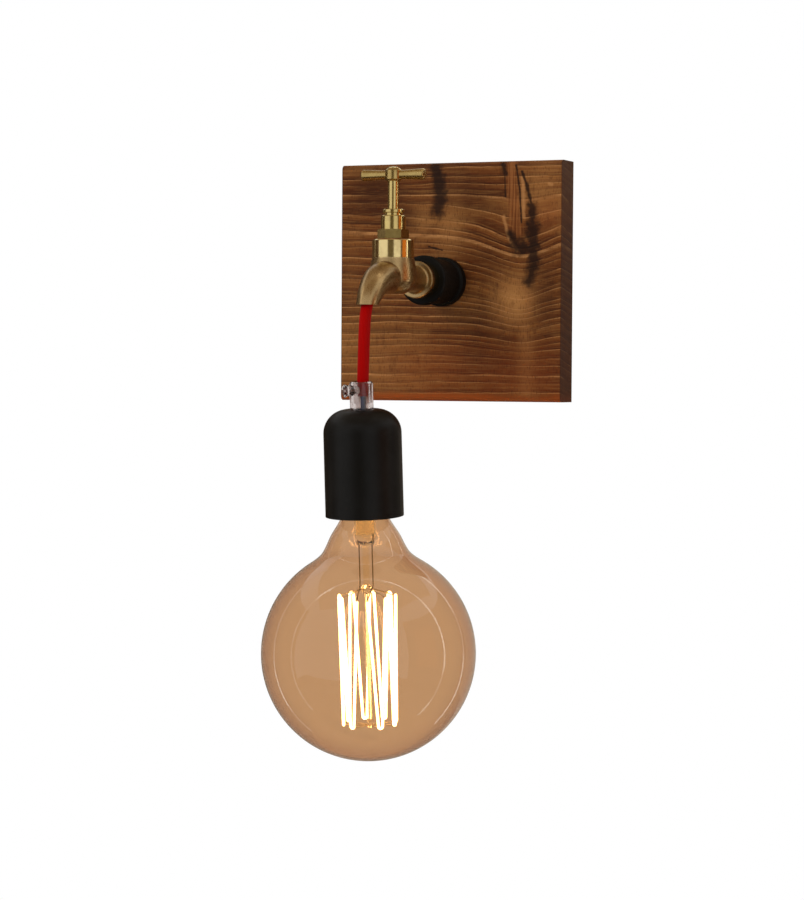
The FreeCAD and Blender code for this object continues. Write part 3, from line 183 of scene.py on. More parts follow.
make_camera()


def cord_piece(name, body, node, route, swells=None):
    """A round stretch of cord on a smooth spline, with the route's points as its control points."""
    curve = bpy.data.curves.new(name, "CURVE")
    curve.dimensions = "3D"
    curve.bevel_depth = 1.0
    curve.bevel_resolution = CORD_ROUND_STEPS
    curve.resolution_u = CORD_LENGTH_STEPS
    curve.use_fill_caps = True
    spline = curve.splines.new("NURBS")
    spline.points.add(len(route) - 1)
    for point, place in zip(spline.points, route):
        point.co = (*place, 1)
    # The points carry the cord's radius, so that the curve's own box stays true
    for point, swell in zip(spline.points, swells or [1.0] * len(route)):
        point.radius = swell * CORD_DIAMETER / 2
    spline.order_u = 3
    spline.use_endpoint_u = True
    piece = put_in_scene(name, curve)
    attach(piece, body)
    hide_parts(node)
    return piece


free_cord = cord_piece("free_cord", "pendant", "cord", CORD_ROUTE)

# Hidden stretches: through the block and the tap, the flexing place in the spout's mouth,
# and the end that the grip holds
threaded_cord = cord_piece("threaded_cord", "wall_unit", "cord_inside", INSIDE_ROUTE)
flexing_cord = cord_piece("flexing_cord", "cord_joint", "cord_flex", FLEX_ROUTE, FLEX_SWELLS)
gripped_cord = cord_piece("gripped_cord", "pendant", "cord_end", GRIPPED_ROUTE, GRIPPED_SWELLS)
cord_pieces = (free_cord, threaded_cord, flexing_cord, gripped_cord)


def envelope_outline():
    """The envelope's outer line from the neck's top to the pole, smooth where neck meets globe."""
    rise = GLOBE_CENTRE_DEPTH - NECK_JOIN_DEPTH
    join_angle = math.acos(rise / GLOBE_RADIUS)
    knots = [Vector(point) for point in NECK_OUTLINE]
    knots.append(Vector((GLOBE_RADIUS * math.sin(join_angle), NECK_JOIN_DEPTH)))
    slopes = [(after - before).normalized() for before, after in zip(knots, knots[2:])]
    slopes.insert(0, (knots[1] - knots[0]).normalized())
    slopes.append(Vector((math.cos(join_angle), math.sin(join_angle))))
    line = []
    for number in range(len(knots) - 1):
        start, end = knots[number], knots[number + 1]
        third = (end - start).length / 3
        handles = (start + slopes[number] * third, end - slopes[number + 1] * third)
        line.extend(interpolate_bezier(start, *handles, end, NECK_STEPS + 1)[:-1])
    for step in range(GLOBE_RINGS):
        angle = join_angle + (math.pi - join_angle) * step / GLOBE_RINGS
        depth = GLOBE_CENTRE_DEPTH - GLOBE_RADIUS * math.cos(angle)
        line.append(Vector((GLOBE_RADIUS * math.sin(angle), depth)))
    return line


def glass_envelope():
    """The blown envelope as one thin closed wall, finer and smoother than its CAD solid."""
    turns = ENVELOPE_TURNS
    line = envelope_outline()
    pole = GLOBE_CENTRE_DEPTH + GLOBE_RADIUS
    inside = []
    for number, point in enumerate(line):
        ahead = line[number + 1] if number + 1 < len(line) else Vector((0, pole))
        behind = line[max(number - 1, 0)]
        run = (ahead - behind).normalized()
        inside.append(point + Vector((-run.y, run.x)) * GLASS_WALL)
    inside[0].y = line[0].y
    hang = Matrix.Translation(PENDANT_TOP) @ Matrix.Rotation(math.radians(PENDANT_LEAN), 4, "X")
    mesh = bmesh.new()

    def place(radius, depth, turn):
        """A vertex of the envelope, on the pendant's leaning axis."""
        angle = 2 * math.pi * turn / turns
        across, along = radius * math.cos(angle), radius * math.sin(angle)
        return mesh.verts.new(hang @ Vector((across, along, -RIM_BELOW_TOP - depth)))

    rings = [[place(*point, turn) for turn in range(turns)] for point in reversed(inside)]
    rings += [[place(*point, turn) for turn in range(turns)] for point in line]
    for ring, following in zip(rings, rings[1:]):
        for turn in range(turns):
            after = (turn + 1) % turns
            mesh.faces.new((ring[turn], ring[after], following[after], following[turn]))
    for ring, depth in ((rings[0], pole - GLASS_WALL), (rings[-1], pole)):
        tip = place(0, depth, 0)
        for turn in range(turns):
            mesh.faces.new((tip, ring[turn], ring[(turn + 1) % turns]))
    bmesh.ops.recalc_face_normals(mesh, faces=mesh.faces)
    for face in mesh.faces:
        face.smooth = True
    envelope = put_in_scene("glass_envelope", finished_mesh("glass_envelope", mesh))
    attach(envelope, "bulb")
    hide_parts("bulb_glass")
    return envelope


envelope = glass_envelope()


# Hanger screws: where each axis meets the wall plane as (x, z), and the cross recess in each head,
# whose edges stay sharp past an angle in degrees
HANGER_SCREW_PLACES = [(x, z) for x in (-0.050, 0.050) for z in (-0.0145, 0.0225)]
RECESS_REACH = 0.0018
RECESS_HALF_WIDTH = 0.0005
RECESS_DEPTH = 0.0018
RECESS_TAPER = 0.72
CUTTER_OVERRUN = 0.0001
WELD_DISTANCE = 1e-6
SHARP_ANGLE = 30


def cross_outline(reach, half_width):
    """The twelve corners of a cross, in order round it."""
    arm = (Vector((reach, -half_width)), Vector((reach, half_width)), Vector((half_width, half_width)))
    turns = [Matrix.Rotation(math.radians(90 * number), 2) for number in range(4)]
    return [turn @ corner for turn in turns for corner in arm]


def recess_cutter():
    """A tapered cross at each screw, from just past the wall plane into the head."""
    mesh = bmesh.new()
    for x, z in HANGER_SCREW_PLACES:
        rings = []
        for y, share in ((CUTTER_OVERRUN, 1.0), (-RECESS_DEPTH, RECESS_TAPER)):
            outline = cross_outline(RECESS_REACH * share, RECESS_HALF_WIDTH)
            rings.append([mesh.verts.new((x + across, y, z + up)) for across, up in outline])
        for ring in rings:
            mesh.faces.new(ring)
        for number, start in enumerate(rings[0]):
            after = (number + 1) % len(rings[0])
            mesh.faces.new((start, rings[0][after], rings[1][after], rings[1][number]))
    bmesh.ops.recalc_face_normals(mesh, faces=mesh.faces)
    return put_in_scene("recess_cutter", finished_mesh("recess_cutter", mesh))


def recessed_screws():
    """The hanger screws with a cross recess cut into each head."""
    mesh = bmesh.new()
    mesh.from_mesh(nodes["hanger_screws"].data)
    bmesh.ops.remove_doubles(mesh, verts=mesh.verts, dist=WELD_DISTANCE)
    data = finished_mesh("crossed_hanger_screws", mesh)
    # The stored normals belong to the uncut heads
    data.attributes.remove(data.attributes["custom_normal"])
    screws = put_in_scene("crossed_hanger_screws", data)
    cutter = recess_cutter()
    cut = screws.modifiers.new("recess", "BOOLEAN")
    cut.operation = "DIFFERENCE"
    cut.object = cutter
    whole = screws.evaluated_get(bpy.context.evaluated_depsgraph_get())
    screws.data = bpy.data.meshes.new_from_object(whole)
    screws.modifiers.clear()
    bpy.data.objects.remove(cutter)
    screws.data.shade_smooth()
    screws.data.set_sharp_from_angle(angle=math.radians(SHARP_ANGLE))
    screws.data.materials.clear()
    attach(screws, "wall_unit")
    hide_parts("hanger_screws")
    return screws


screws = recessed_screws()


class Graph:
    """A material's node tree, with a short call for each kind of node used here."""

    def __init__(self, name):
        self.material = bpy.data.materials.new(name)
        self.material.use_nodes = True
        self.tree = self.material.node_tree
        self.shader = self.tree.nodes["Principled BSDF"]

    def node(self, kind, **settings):
        made = self.tree.nodes.new(kind)
        for key, value in settings.items():
            setattr(made, key, value)
        return made

    def feed(self, socket, value):
        """Links the socket, or sets it to a plain value. None leaves it as it is."""
        if isinstance(value, bpy.types.NodeSocket):
            self.tree.links.new(value, socket)
        elif value is not None:
            socket.default_value = value

    def surface(self, **values):
        """Sets or links the shader's own sockets, with _ for each blank in their names."""
        for key, value in values.items():
            self.feed(self.shader.inputs[key.replace("_", " ")], value)

    def math(self, operation, *values, clamp=False):
        made = self.node("ShaderNodeMath", operation=operation, use_clamp=clamp)
        for socket, value in zip(made.inputs, values):
            self.feed(socket, value)
        return made.outputs[0]

    def sway(self, noise, reach):
        """Noise about its middle value, times a reach."""
        return self.math("MULTIPLY", self.math("SUBTRACT", noise, 0.5), reach)

    def dot(self, first, second):
        """The dot product of two pairs."""
        products = [self.math("MULTIPLY", one, other) for one, other in zip(first, second)]
        return self.math("ADD", *products)

    def position(self):
        return self.node("ShaderNodeNewGeometry").outputs["Position"]

    def split(self, vector):
        made = self.node("ShaderNodeSeparateXYZ")
        self.feed(made.inputs[0], vector)
        return made.outputs

    def join(self, x, y, z):
        made = self.node("ShaderNodeCombineXYZ")
        for socket, value in zip(made.inputs, (x, y, z)):
            self.feed(socket, value)
        return made.outputs[0]

    def noise(self, vector, scale, detail=4.0, roughness=0.55):
        made = self.node("ShaderNodeTexNoise")
        self.feed(made.inputs["Vector"], vector)
        made.inputs["Scale"].default_value = scale
        made.inputs["Detail"].default_value = detail
        made.inputs["Roughness"].default_value = roughness
        return made.outputs[0]

    def stretched_noise(self, scale, detail, roughness=0.55):
        """Noise of the position in the model, with a scale of its own for each axis."""
        made = self.node("ShaderNodeMapping")
        self.feed(made.inputs["Vector"], self.position())
        made.inputs["Scale"].default_value = scale
        return self.noise(made.outputs[0], 1.0, detail, roughness)

    def ramp(self, value, stops):
        made = self.node("ShaderNodeValToRGB")
        self.feed(made.inputs[0], value)
        elements = made.color_ramp.elements
        while len(elements) < len(stops):
            elements.new(0.5)
        for element, (place, colour) in zip(elements, stops):
            element.position = place
            element.color = (*colour, 1)
        return made.outputs[0]

    def span(self, value, low, high, out_low=0.0, out_high=1.0):
        """Eases from out_low to out_high while the value goes from low to high."""
        made = self.node("ShaderNodeMapRange", interpolation_type="SMOOTHSTEP")
        for socket, number in zip(made.inputs, (value, low, high, out_low, out_high)):
            self.feed(socket, number)
        return made.outputs[0]

    def mix(self, share, first, second):
        """The first colour at a share of 0, and the second at 1."""
        made = self.node("ShaderNodeMix", data_type="RGBA")
        self.feed(made.inputs[0], share)
        for socket, value in zip((made.inputs[6], made.inputs[7]), (first, second)):
            self.feed(socket, (*value, 1) if isinstance(value, tuple) else value)
        return made.outputs[2]

    def bump(self, height, distance, strength=1.0, below=None):
        """Relief on the shader's surface, on top of the relief below where there is one."""
        made = self.node("ShaderNodeBump")
        made.inputs["Strength"].default_value = strength
        made.inputs["Distance"].default_value = distance
        self.feed(made.inputs["Height"], height)
        self.feed(made.inputs["Normal"], below)
        self.feed(self.shader.inputs["Normal"], made.outputs[0])
        return made.outputs[0]


def srgb(red, green, blue):
    """A colour read as 0 to 255 display values, as the linear values that nodes take."""
    values = []
    for channel in (red, green, blue):
        share = channel / 255
        values.append(share / 12.92 if share <= 0.04045 else ((share + 0.055) / 1.055) ** 2.4)
    return tuple(values)


def about_pendant(graph):
    """Position with its origin at the top of the cord grip and Z along the pendant's axis."""
    made = graph.node("ShaderNodeMapping", vector_type="TEXTURE")
    graph.feed(made.inputs["Vector"], graph.position())
    made.inputs["Location"].default_value = PENDANT_TOP
    made.inputs["Rotation"].default_value = (math.radians(PENDANT_LEAN), 0, 0)
    return made.outputs[0]


# Where most values of a noise lie
NOISE_RANGE = (0.3, 0.7)

# Stained pine. Its lines run across the front, and dip where they pass below a knot. The dip
# widens upwards between two heights.
DIP_X = 0.0475
DIP_WIDENS_Z = (-0.060, 0.000)
DIP_REACH_LOW = 0.0200
DIP_REACH_HIGH = 0.0340
DIP_AT_KNOT = 0.0180
DIP_START_Z = 0.024
DIP_DEEPEST_Z = -0.022
DIP_END_Z = -0.112
LINE_PITCH = 0.0053
LINE_DRIFT = 0.008
LINE_RIPPLE = 0.0010
LINE_SLOPE_THROUGH = 0.25
LINE_NOISE_SCALE = 110.0
LINE_UNEVENNESS = 2.4
END_FACE_X = 0.0738
END_FACE_SKIN = 0.0003
# Painted glow of the lit bulb along the foot of the front face: the board's foot, how high the glow
# rises, and how ragged its top edge is
FOOT_Z = -0.1125
BULB_GLOW_RISE = 0.0045
BULB_GLOW_RAGGED = 0.012
BACK_FADE_Y = -0.003
FRONT_FADE_Y = -0.016

# Scales of the wood's noises along X, Y and Z
DRIFT_SCALE = (9, 10, 30)
RIPPLE_SCALE = (70, 70, 160)
FADE_SCALE = (22, 60, 160)
STAIN_SCALE = (16, 20, 42)
MOTTLE_SCALE = (230, 230, 90)
PORE_SCALE = (1100, 1100, 330)
FIBRE_SCALE = (90, 700, 1500)
SPIKE_SCALE = (1500, 60, 45)

# The ragged outline of a streak: scale of its noise, reach and solid core as shares of half width
FRAY_SCALE = 260.0
FRAY_SHARE = 1.3
CORE_SHARE = 0.3

# Depths of the wood's relief
FIBRE_BUMP = 0.00010
LINE_BUMP = 0.00012
STREAK_BUMP = 0.0003

DARK_BROWN = srgb(58, 27, 9)
RED_BROWN = srgb(92, 45, 15)
MID_BROWN = srgb(120, 70, 30)
TAN = srgb(164, 112, 60)
# Tone of the paler clouds in the stain and of the painted patch of light
PALE_CLOUD_AND_LIGHT_TAN = srgb(176, 120, 66)
PALE_LINE = srgb(192, 134, 80)
STREAK_BLACK = srgb(28, 14, 8)
SPIKE_BROWN = srgb(142, 86, 44)
# Painted orange glow of the lit bulb
BULB_GLOW_ORANGE = srgb(146, 68, 22)
RED_STAIN = srgb(128, 60, 24)

# From one growth line to the next: the ground's tone, its pale line, and the finer lines between
OFF = (0, 0, 0)
ON = (1, 1, 1)
GROUND_STOPS = [(0.0, DARK_BROWN), (0.35, RED_BROWN), (0.78, MID_BROWN), (1.0, RED_BROWN)]
PALE_STOPS = [(0.0, OFF), (0.84, OFF), (0.92, ON), (0.95, ON), (1.0, OFF)]
FINER_STOPS = [(0.0, OFF), (0.62, OFF), (0.82, ON), (1.0, OFF)]
FINER_LINES = 3.0
FINER_SHIFT = 0.4

# Features of the photographed board: start and end as (x, z), half width and softness
DARK_STREAKS = [
    ((-0.0100, 0.031), (-0.0080, 0.025), 0.0044, 0.0018),
    ((-0.0072, 0.024), (-0.0060, 0.012), 0.0046, 0.0030),
    ((-0.0065, 0.010), (-0.0085, 0.004), 0.0032, 0.0042),
    ((0.0355, 0.0315), (0.0368, 0.0265), 0.0016, 0.0012),
    ((0.0366, 0.025), (0.0370, 0.012), 0.0002, 0.0006),
    ((0.0440, 0.031), (0.0465, 0.016), 0.0005, 0.0006),
    ((0.0465, 0.016), (0.0478, -0.004), 0.0004, 0.0006),
    ((0.0480, 0.027), (0.0510, 0.019), 0.0006, 0.0007),
    ((0.0510, 0.019), (0.0540, 0.008), 0.0010, 0.0009),
    ((0.0546, 0.006), (0.0552, -0.006), 0.0028, 0.0022),
    ((0.0550, -0.006), (0.0560, -0.030), 0.0046, 0.0026),
    ((0.0556, -0.030), (0.0530, -0.040), 0.0020, 0.0042),
    ((0.0405, -0.0110), (0.0450, -0.0180), 0.0026, 0.0018),
    ((0.0455, -0.0185), (0.0540, -0.0205), 0.0056, 0.0026),
    ((-0.0140, -0.0180), (-0.0050, -0.0203), 0.0004, 0.0005),
]
PALE_EDGES = [
    ((0.0360, 0.000), (0.0392, -0.013), 0.0005, 0.0012),
    ((0.0392, -0.013), (0.0450, -0.021), 0.0006, 0.0014),
    ((0.0485, 0.023), (0.0492, 0.000), 0.0010, 0.0011),
    ((0.0655, 0.0195), (0.0675, 0.0190), 0.0003, 0.0014),
]
SPIKE = ((0.0395, 0.034), (0.0448, -0.010), 0.0044, 0.0014)

# Pale and dark clouds, in the stain and as painted light and shade: middle as (x, z), reach as (x, z)
# and strength
PALE_CLOUDS_AND_LIGHT = [
    ((0.0430, -0.052), (0.015, 0.015), 1.00),
    ((0.0510, -0.085), (0.006, 0.040), 0.50),
    ((0.0640, 0.020), (0.014, 0.016), 0.35),
    # A painted patch of light at the lower left of the board
    ((-0.0480, -0.092), (0.030, 0.026), 0.35),
    ((-0.0010, -0.006), (0.010, 0.020), 0.40),
    ((0.0100, -0.055), (0.030, 0.012), 0.20),
    ((-0.0680, -0.040), (0.008, 0.040), 0.15),
    ((-0.0190, -0.002), (0.010, 0.012), 0.35),
    ((0.0650, 0.002), (0.010, 0.005), 0.40),
]
DARK_CLOUDS_AND_TAP_SHADOW = [
    # The first is a painted shadow of the T handle and tap; the others are darker clouds in the stain
    ((-0.0500, 0.018), (0.020, 0.014), 0.90),
    ((-0.0340, 0.000), (0.014, 0.018), 0.60),
    ((0.0150, 0.012), (0.018, 0.012), 0.60),
    ((0.0640, -0.050), (0.010, 0.030), 0.55),
    ((0.0240, -0.028), (0.018, 0.012), 0.40),
    ((0.0250, -0.090), (0.028, 0.022), 0.25),
    ((-0.0100, -0.075), (0.024, 0.010), 0.20),
]
RED_CLOUDS = [
    ((0.0450, -0.096), (0.034, 0.022), 0.55),
    ((-0.0050, -0.092), (0.040, 0.018), 0.35),
    ((0.0660, 0.000), (0.012, 0.012), 0.35),
]


def soft_line(graph, x, z, start, end, half_width, softness):
    """A mask that is 1 along a streak between two (x, z) points, with a ragged, fading outline."""
    run_x, run_z = end[0] - start[0], end[1] - start[1]
    run = math.hypot(run_x, run_z)
    along_x, along_z = run_x / run, run_z / run
    from_x = graph.math("SUBTRACT", x, start[0])
    from_z = graph.math("SUBTRACT", z, start[1])
    along = graph.dot((from_x, from_z), (along_x, along_z))
    across = graph.dot((from_x, from_z), (along_z, -along_x))
    nearest = graph.math("MINIMUM", graph.math("MAXIMUM", along, 0.0), run)
    past = graph.math("SUBTRACT", along, nearest)
    distance = graph.math("SQRT", graph.dot((across, past), (across, past)))
    ragged = graph.noise(graph.join(x, 0.0, z), FRAY_SCALE, 2.0, 0.5)
    fray = graph.sway(ragged, FRAY_SHARE * half_width + softness)
    distance = graph.math("ADD", distance, fray)
    return graph.span(distance, half_width + softness, half_width * CORE_SHARE)


def strongest(graph, masks):
    """The highest of several masks at each place."""
    most = masks[0]
    for mask in masks[1:]:
        most = graph.math("MAXIMUM", most, mask)
    return most


def cloud(graph, x, z, middle, reach, strength):
    """A mask that fades smoothly in every direction from its middle."""
    side = graph.math("DIVIDE", graph.math("SUBTRACT", x, middle[0]), reach[0])
    rise = graph.math("DIVIDE", graph.math("SUBTRACT", z, middle[1]), reach[1])
    spread = graph.dot((side, rise), (side, rise))
    fade = graph.math("POWER", math.e, graph.math("MULTIPLY", spread, -1.0))
    return graph.math("MULTIPLY", fade, strength)


def wood_lines(graph, x, y, z):
    """Height along the board's growth lines: equal values lie on one line."""
    width = graph.span(z, *DIP_WIDENS_Z, DIP_REACH_LOW, DIP_REACH_HIGH)
    from_knot = graph.math("DIVIDE", graph.math("SUBTRACT", x, DIP_X), width)
    spread = graph.math("ADD", graph.math("MULTIPLY", from_knot, from_knot), 1.0)
    above = graph.span(z, DIP_START_Z, DIP_DEEPEST_Z)
    below = graph.span(z, DIP_END_Z, DIP_DEEPEST_Z)
    reach = graph.math("MULTIPLY", graph.math("MULTIPLY", above, below), DIP_AT_KNOT)
    dip = graph.math("DIVIDE", reach, spread)
    drift = graph.sway(graph.stretched_noise(DRIFT_SCALE, 2.0), LINE_DRIFT)
    ripple = graph.sway(graph.stretched_noise(RIPPLE_SCALE, 2.0), LINE_RIPPLE)
    level = graph.math("ADD", graph.math("ADD", z, dip), graph.math("ADD", drift, ripple))
    return graph.math("ADD", level, graph.math("MULTIPLY", y, LINE_SLOPE_THROUGH))


def stained_pine():
    """The board: growth lines, stain and pores, with the streaks and clouds of the photographed one.
    Among the clouds are a painted shadow and a painted patch of light, and a painted glow of the bulb
    lies along its foot.
    """
    graph = Graph("stained_pine_wood")
    x, y, z = graph.split(graph.position())
    level = wood_lines(graph, x, y, z)
    uneven = graph.noise(graph.join(0.0, 0.0, level), LINE_NOISE_SCALE, 2.0)
    uneven = graph.math("MULTIPLY", uneven, LINE_UNEVENNESS)
    phase = graph.math("FRACT", graph.math("ADD", graph.math("DIVIDE", level, LINE_PITCH), uneven))
    fade = graph.stretched_noise(FADE_SCALE, 3.0)
    pale_line = graph.ramp(phase, PALE_STOPS)
    pale_line = graph.math("MULTIPLY", pale_line, graph.span(fade, 0.34, 0.58))
    finer = graph.math("ADD", graph.math("MULTIPLY", phase, FINER_LINES), FINER_SHIFT)
    finer = graph.ramp(graph.math("FRACT", finer), FINER_STOPS)
    finer = graph.math("MULTIPLY", finer, graph.span(fade, 0.60, 0.42, 0.0, 0.40))
    stain = graph.stretched_noise(STAIN_SCALE, 4.0, 0.6)
    mottle = graph.stretched_noise(MOTTLE_SCALE, 4.0, 0.65)
    pores = graph.stretched_noise(PORE_SCALE, 2.0, 0.6)
    fibre = graph.stretched_noise(FIBRE_SCALE, 3.0, 0.6)
    ground = graph.ramp(phase, GROUND_STOPS)
    wood = graph.mix(graph.span(stain, 0.48, 0.74, 0.0, 0.55), ground, TAN)
    wood = graph.mix(graph.span(stain, 0.50, 0.30, 0.0, 0.55), wood, DARK_BROWN)
    # Paler clouds in the stain, and a painted patch of light at the lower left
    pale = strongest(graph, [cloud(graph, x, z, *row) for row in PALE_CLOUDS_AND_LIGHT])
    wood = graph.mix(pale, wood, PALE_CLOUD_AND_LIGHT_TAN)
    wood = graph.mix(graph.span(mottle, 0.52, 0.75, 0.0, 0.45), wood, DARK_BROWN)
    wood = graph.mix(finer, wood, TAN)
    wood = graph.mix(graph.math("MULTIPLY", pale_line, 0.80), wood, PALE_LINE)
    red = strongest(graph, [cloud(graph, x, z, *row) for row in RED_CLOUDS])
    wood = graph.mix(red, wood, RED_STAIN)
    # Darker clouds in the stain, and the painted shadow of the T handle and tap at the upper left
    dull = strongest(graph, [cloud(graph, x, z, *row) for row in DARK_CLOUDS_AND_TAP_SHADOW])
    wood = graph.mix(dull, wood, DARK_BROWN)
    wood = graph.mix(graph.span(pores, 0.52, 0.70, 0.0, 0.45), wood, DARK_BROWN)
    wood = graph.mix(graph.span(fibre, 0.50, 0.75, 0.0, 0.30), wood, TAN)
    upright = graph.stretched_noise(SPIKE_SCALE, 3.0, 0.6)
    spike = graph.mix(graph.span(upright, 0.40, 0.66), SPIKE_BROWN, RED_BROWN)
    wood = graph.mix(graph.math("MULTIPLY", soft_line(graph, x, z, *SPIKE), 0.85), wood, spike)
    bright = strongest(graph, [soft_line(graph, x, z, *row) for row in PALE_EDGES])
    wood = graph.mix(graph.math("MULTIPLY", bright, 0.5), wood, PALE_LINE)
    dark = strongest(graph, [soft_line(graph, x, z, *row) for row in DARK_STREAKS])
    through = graph.span(y, BACK_FADE_Y, FRONT_FADE_Y, 0.25, 0.90)
    wood = graph.mix(graph.math("MULTIPLY", dark, through), wood, STREAK_BLACK)
    # Painted glow: the lit bulb's orange light along the board's foot, with a ragged top edge
    low = graph.math("ADD", z, graph.sway(stain, BULB_GLOW_RAGGED))
    foot = graph.span(low, FOOT_Z + BULB_GLOW_RISE, FOOT_Z)
    wood = graph.mix(graph.math("MULTIPLY", foot, 0.85), wood, BULB_GLOW_ORANGE)
    end_face = graph.span(graph.math("ABSOLUTE", x), END_FACE_X - END_FACE_SKIN, END_FACE_X)
    wood = graph.mix(graph.math("MULTIPLY", end_face, 0.75), wood, DARK_BROWN)
    graph.surface(Base_Color=wood, Roughness=graph.span(stain, *NOISE_RANGE, 0.52, 0.66))
    graph.surface(Specular_IOR_Level=0.12)
    skin = graph.bump(fibre, FIBRE_BUMP, 0.5)
    skin = graph.bump(pale_line, LINE_BUMP, 0.5, skin)
    graph.bump(graph.math("MULTIPLY", dark, -1.0), STREAK_BUMP, 0.5, skin)
    return graph.material


# Metals: scales and depths of their noises, how far these roughen them, and their dull tones
BLOTCH_SCALE = 90.0
BRASS_GRAIN_SCALE = 900.0
BRASS_GRAIN_DEPTH = 0.00002
GRAIN_ROUGHENS = 0.18
PLATE_PATCH_SCALE = 120.0
PATCH_ROUGHENS = 0.12
SCRATCH_SCALE = 1400.0
SCRATCH_DEPTH = 0.00002
BRASS_TARNISH = srgb(118, 92, 48)
CAST_TARNISH = srgb(118, 86, 46)
DULL_ZINC = srgb(130, 128, 122)
DULL_THREAD = srgb(120, 110, 90)


def brass(name, colour, roughness, tarnish):
    """Yellow brass with faint tool marks, small changes of tone and patches of light tarnish."""
    graph = Graph(name)
    place = graph.position()
    blotch = graph.noise(place, BLOTCH_SCALE, 5.0, 0.6)
    fine = graph.noise(place, BRASS_GRAIN_SCALE, 3.0, 0.6)
    base = graph.mix(graph.span(blotch, 0.35, 0.75, 0.0, tarnish), colour, BRASS_TARNISH)
    rough = graph.math("ADD", roughness, graph.sway(fine, GRAIN_ROUGHENS), clamp=True)
    graph.surface(Base_Color=base, Roughness=rough, Metallic=1.0)
    graph.bump(fine, BRASS_GRAIN_DEPTH, 0.5)
    return graph.material


# The turned lands of the tap body: its barrel, and the collar that meets the socket
BARREL_HEIGHT = 0.0109
COLLAR_SHOWS = 0.0085
LAND_FADE = 0.0006
COLLAR_FADE_BACK = 0.0002
CAST_GRIT_SCALE = 1900.0
CAST_GRIT_DEPTH = 0.00005
CAST_ROUGHNESS = (0.26, 0.36)
LAND_ROUGHNESS = (0.13, 0.20)


def tap_casting(cast, turned):
    """Blasted cast brass, with the barrel and the collar turned and polished."""
    graph = Graph("cast_tap_brass")
    place = graph.position()
    _, y, z = graph.split(place)
    barrel_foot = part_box("bonnet_washer")[0][2] - BARREL_HEIGHT
    collar_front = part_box("pipe_socket")[0][1] - COLLAR_SHOWS
    barrel = graph.span(z, barrel_foot - LAND_FADE, barrel_foot + LAND_FADE)
    collar = graph.span(y, collar_front - LAND_FADE, collar_front + COLLAR_FADE_BACK)
    land = graph.math("MAXIMUM", barrel, collar)
    blotch = graph.noise(place, BLOTCH_SCALE, 5.0, 0.6)
    grit = graph.noise(place, CAST_GRIT_SCALE, 2.0, 0.6)
    base = graph.mix(land, cast, turned)
    base = graph.mix(graph.span(blotch, 0.40, 0.80, 0.0, 0.40), base, CAST_TARNISH)
    matt = graph.span(grit, *NOISE_RANGE, *CAST_ROUGHNESS)
    smooth = graph.span(blotch, *NOISE_RANGE, *LAND_ROUGHNESS)
    rough = graph.math("ADD", matt, graph.math("MULTIPLY", land, graph.math("SUBTRACT", smooth, matt)))
    graph.surface(Base_Color=base, Roughness=rough, Metallic=1.0)
    skin = graph.math("MULTIPLY", grit, graph.math("SUBTRACT", 1.0, land))
    graph.bump(skin, CAST_GRIT_DEPTH, 0.5)
    return graph.material


def turned_metal(name, colour, roughness):
    """Plated steel with a soft sheen and fine scratches."""
    graph = Graph(name)
    place = graph.position()
    scratches = graph.noise(place, SCRATCH_SCALE, 3.0, 0.6)
    patches = graph.noise(place, PLATE_PATCH_SCALE, 3.0, 0.5)
    base = graph.mix(graph.span(patches, *NOISE_RANGE, 0.0, 0.3), colour, DULL_ZINC)
    rough = graph.span(patches, *NOISE_RANGE, roughness, roughness + PATCH_ROUGHENS)
    graph.surface(Base_Color=base, Roughness=rough, Metallic=1.0)
    graph.bump(scratches, SCRATCH_DEPTH, 0.5)
    return graph.material


# Paint and plastic: their paler patches, and how far the skin's grain varies the roughness
PAINT_PATCH_SCALE = 45.0
PALER_SHARE = 1.6
PALER_LIFT = 0.004
SKIN_ROUGHENS = 0.06


def painted(name, colour, roughness, grain, depth, gloss=0.5):
    """Paint, glaze or a moulded surface with a fine skin and slightly paler patches."""
    graph = Graph(name)
    place = graph.position()
    fine = graph.noise(place, grain, 4.0, 0.6)
    patches = graph.noise(place, PAINT_PATCH_SCALE, 3.0, 0.5)
    paler = tuple(channel * PALER_SHARE + PALER_LIFT for channel in colour)
    base = graph.mix(graph.span(patches, 0.3, 0.75, 0.0, 0.6), colour, paler)
    rough = graph.span(fine, *NOISE_RANGE, roughness - SKIN_ROUGHENS, roughness + SKIN_ROUGHENS)
    graph.surface(Base_Color=base, Roughness=rough, Specular_IOR_Level=gloss)
    graph.bump(fine, depth, 0.5)
    return graph.material


# The cord's sleeve: yarns round it, their climb in radians per metre, and their fuzz
WEAVE_YARNS = 12.0
WEAVE_CLIMB = 6200.0
WEAVE_DEPTH = 0.00016
FUZZ_SCALE = 2600.0
FUZZ_DEPTH = 0.00005
DEEP_RED = srgb(120, 0, 0)
YARN_RED = srgb(186, 4, 2)
FUZZ_RED = srgb(198, 12, 8)
SHEEN_RED = srgb(220, 60, 50)


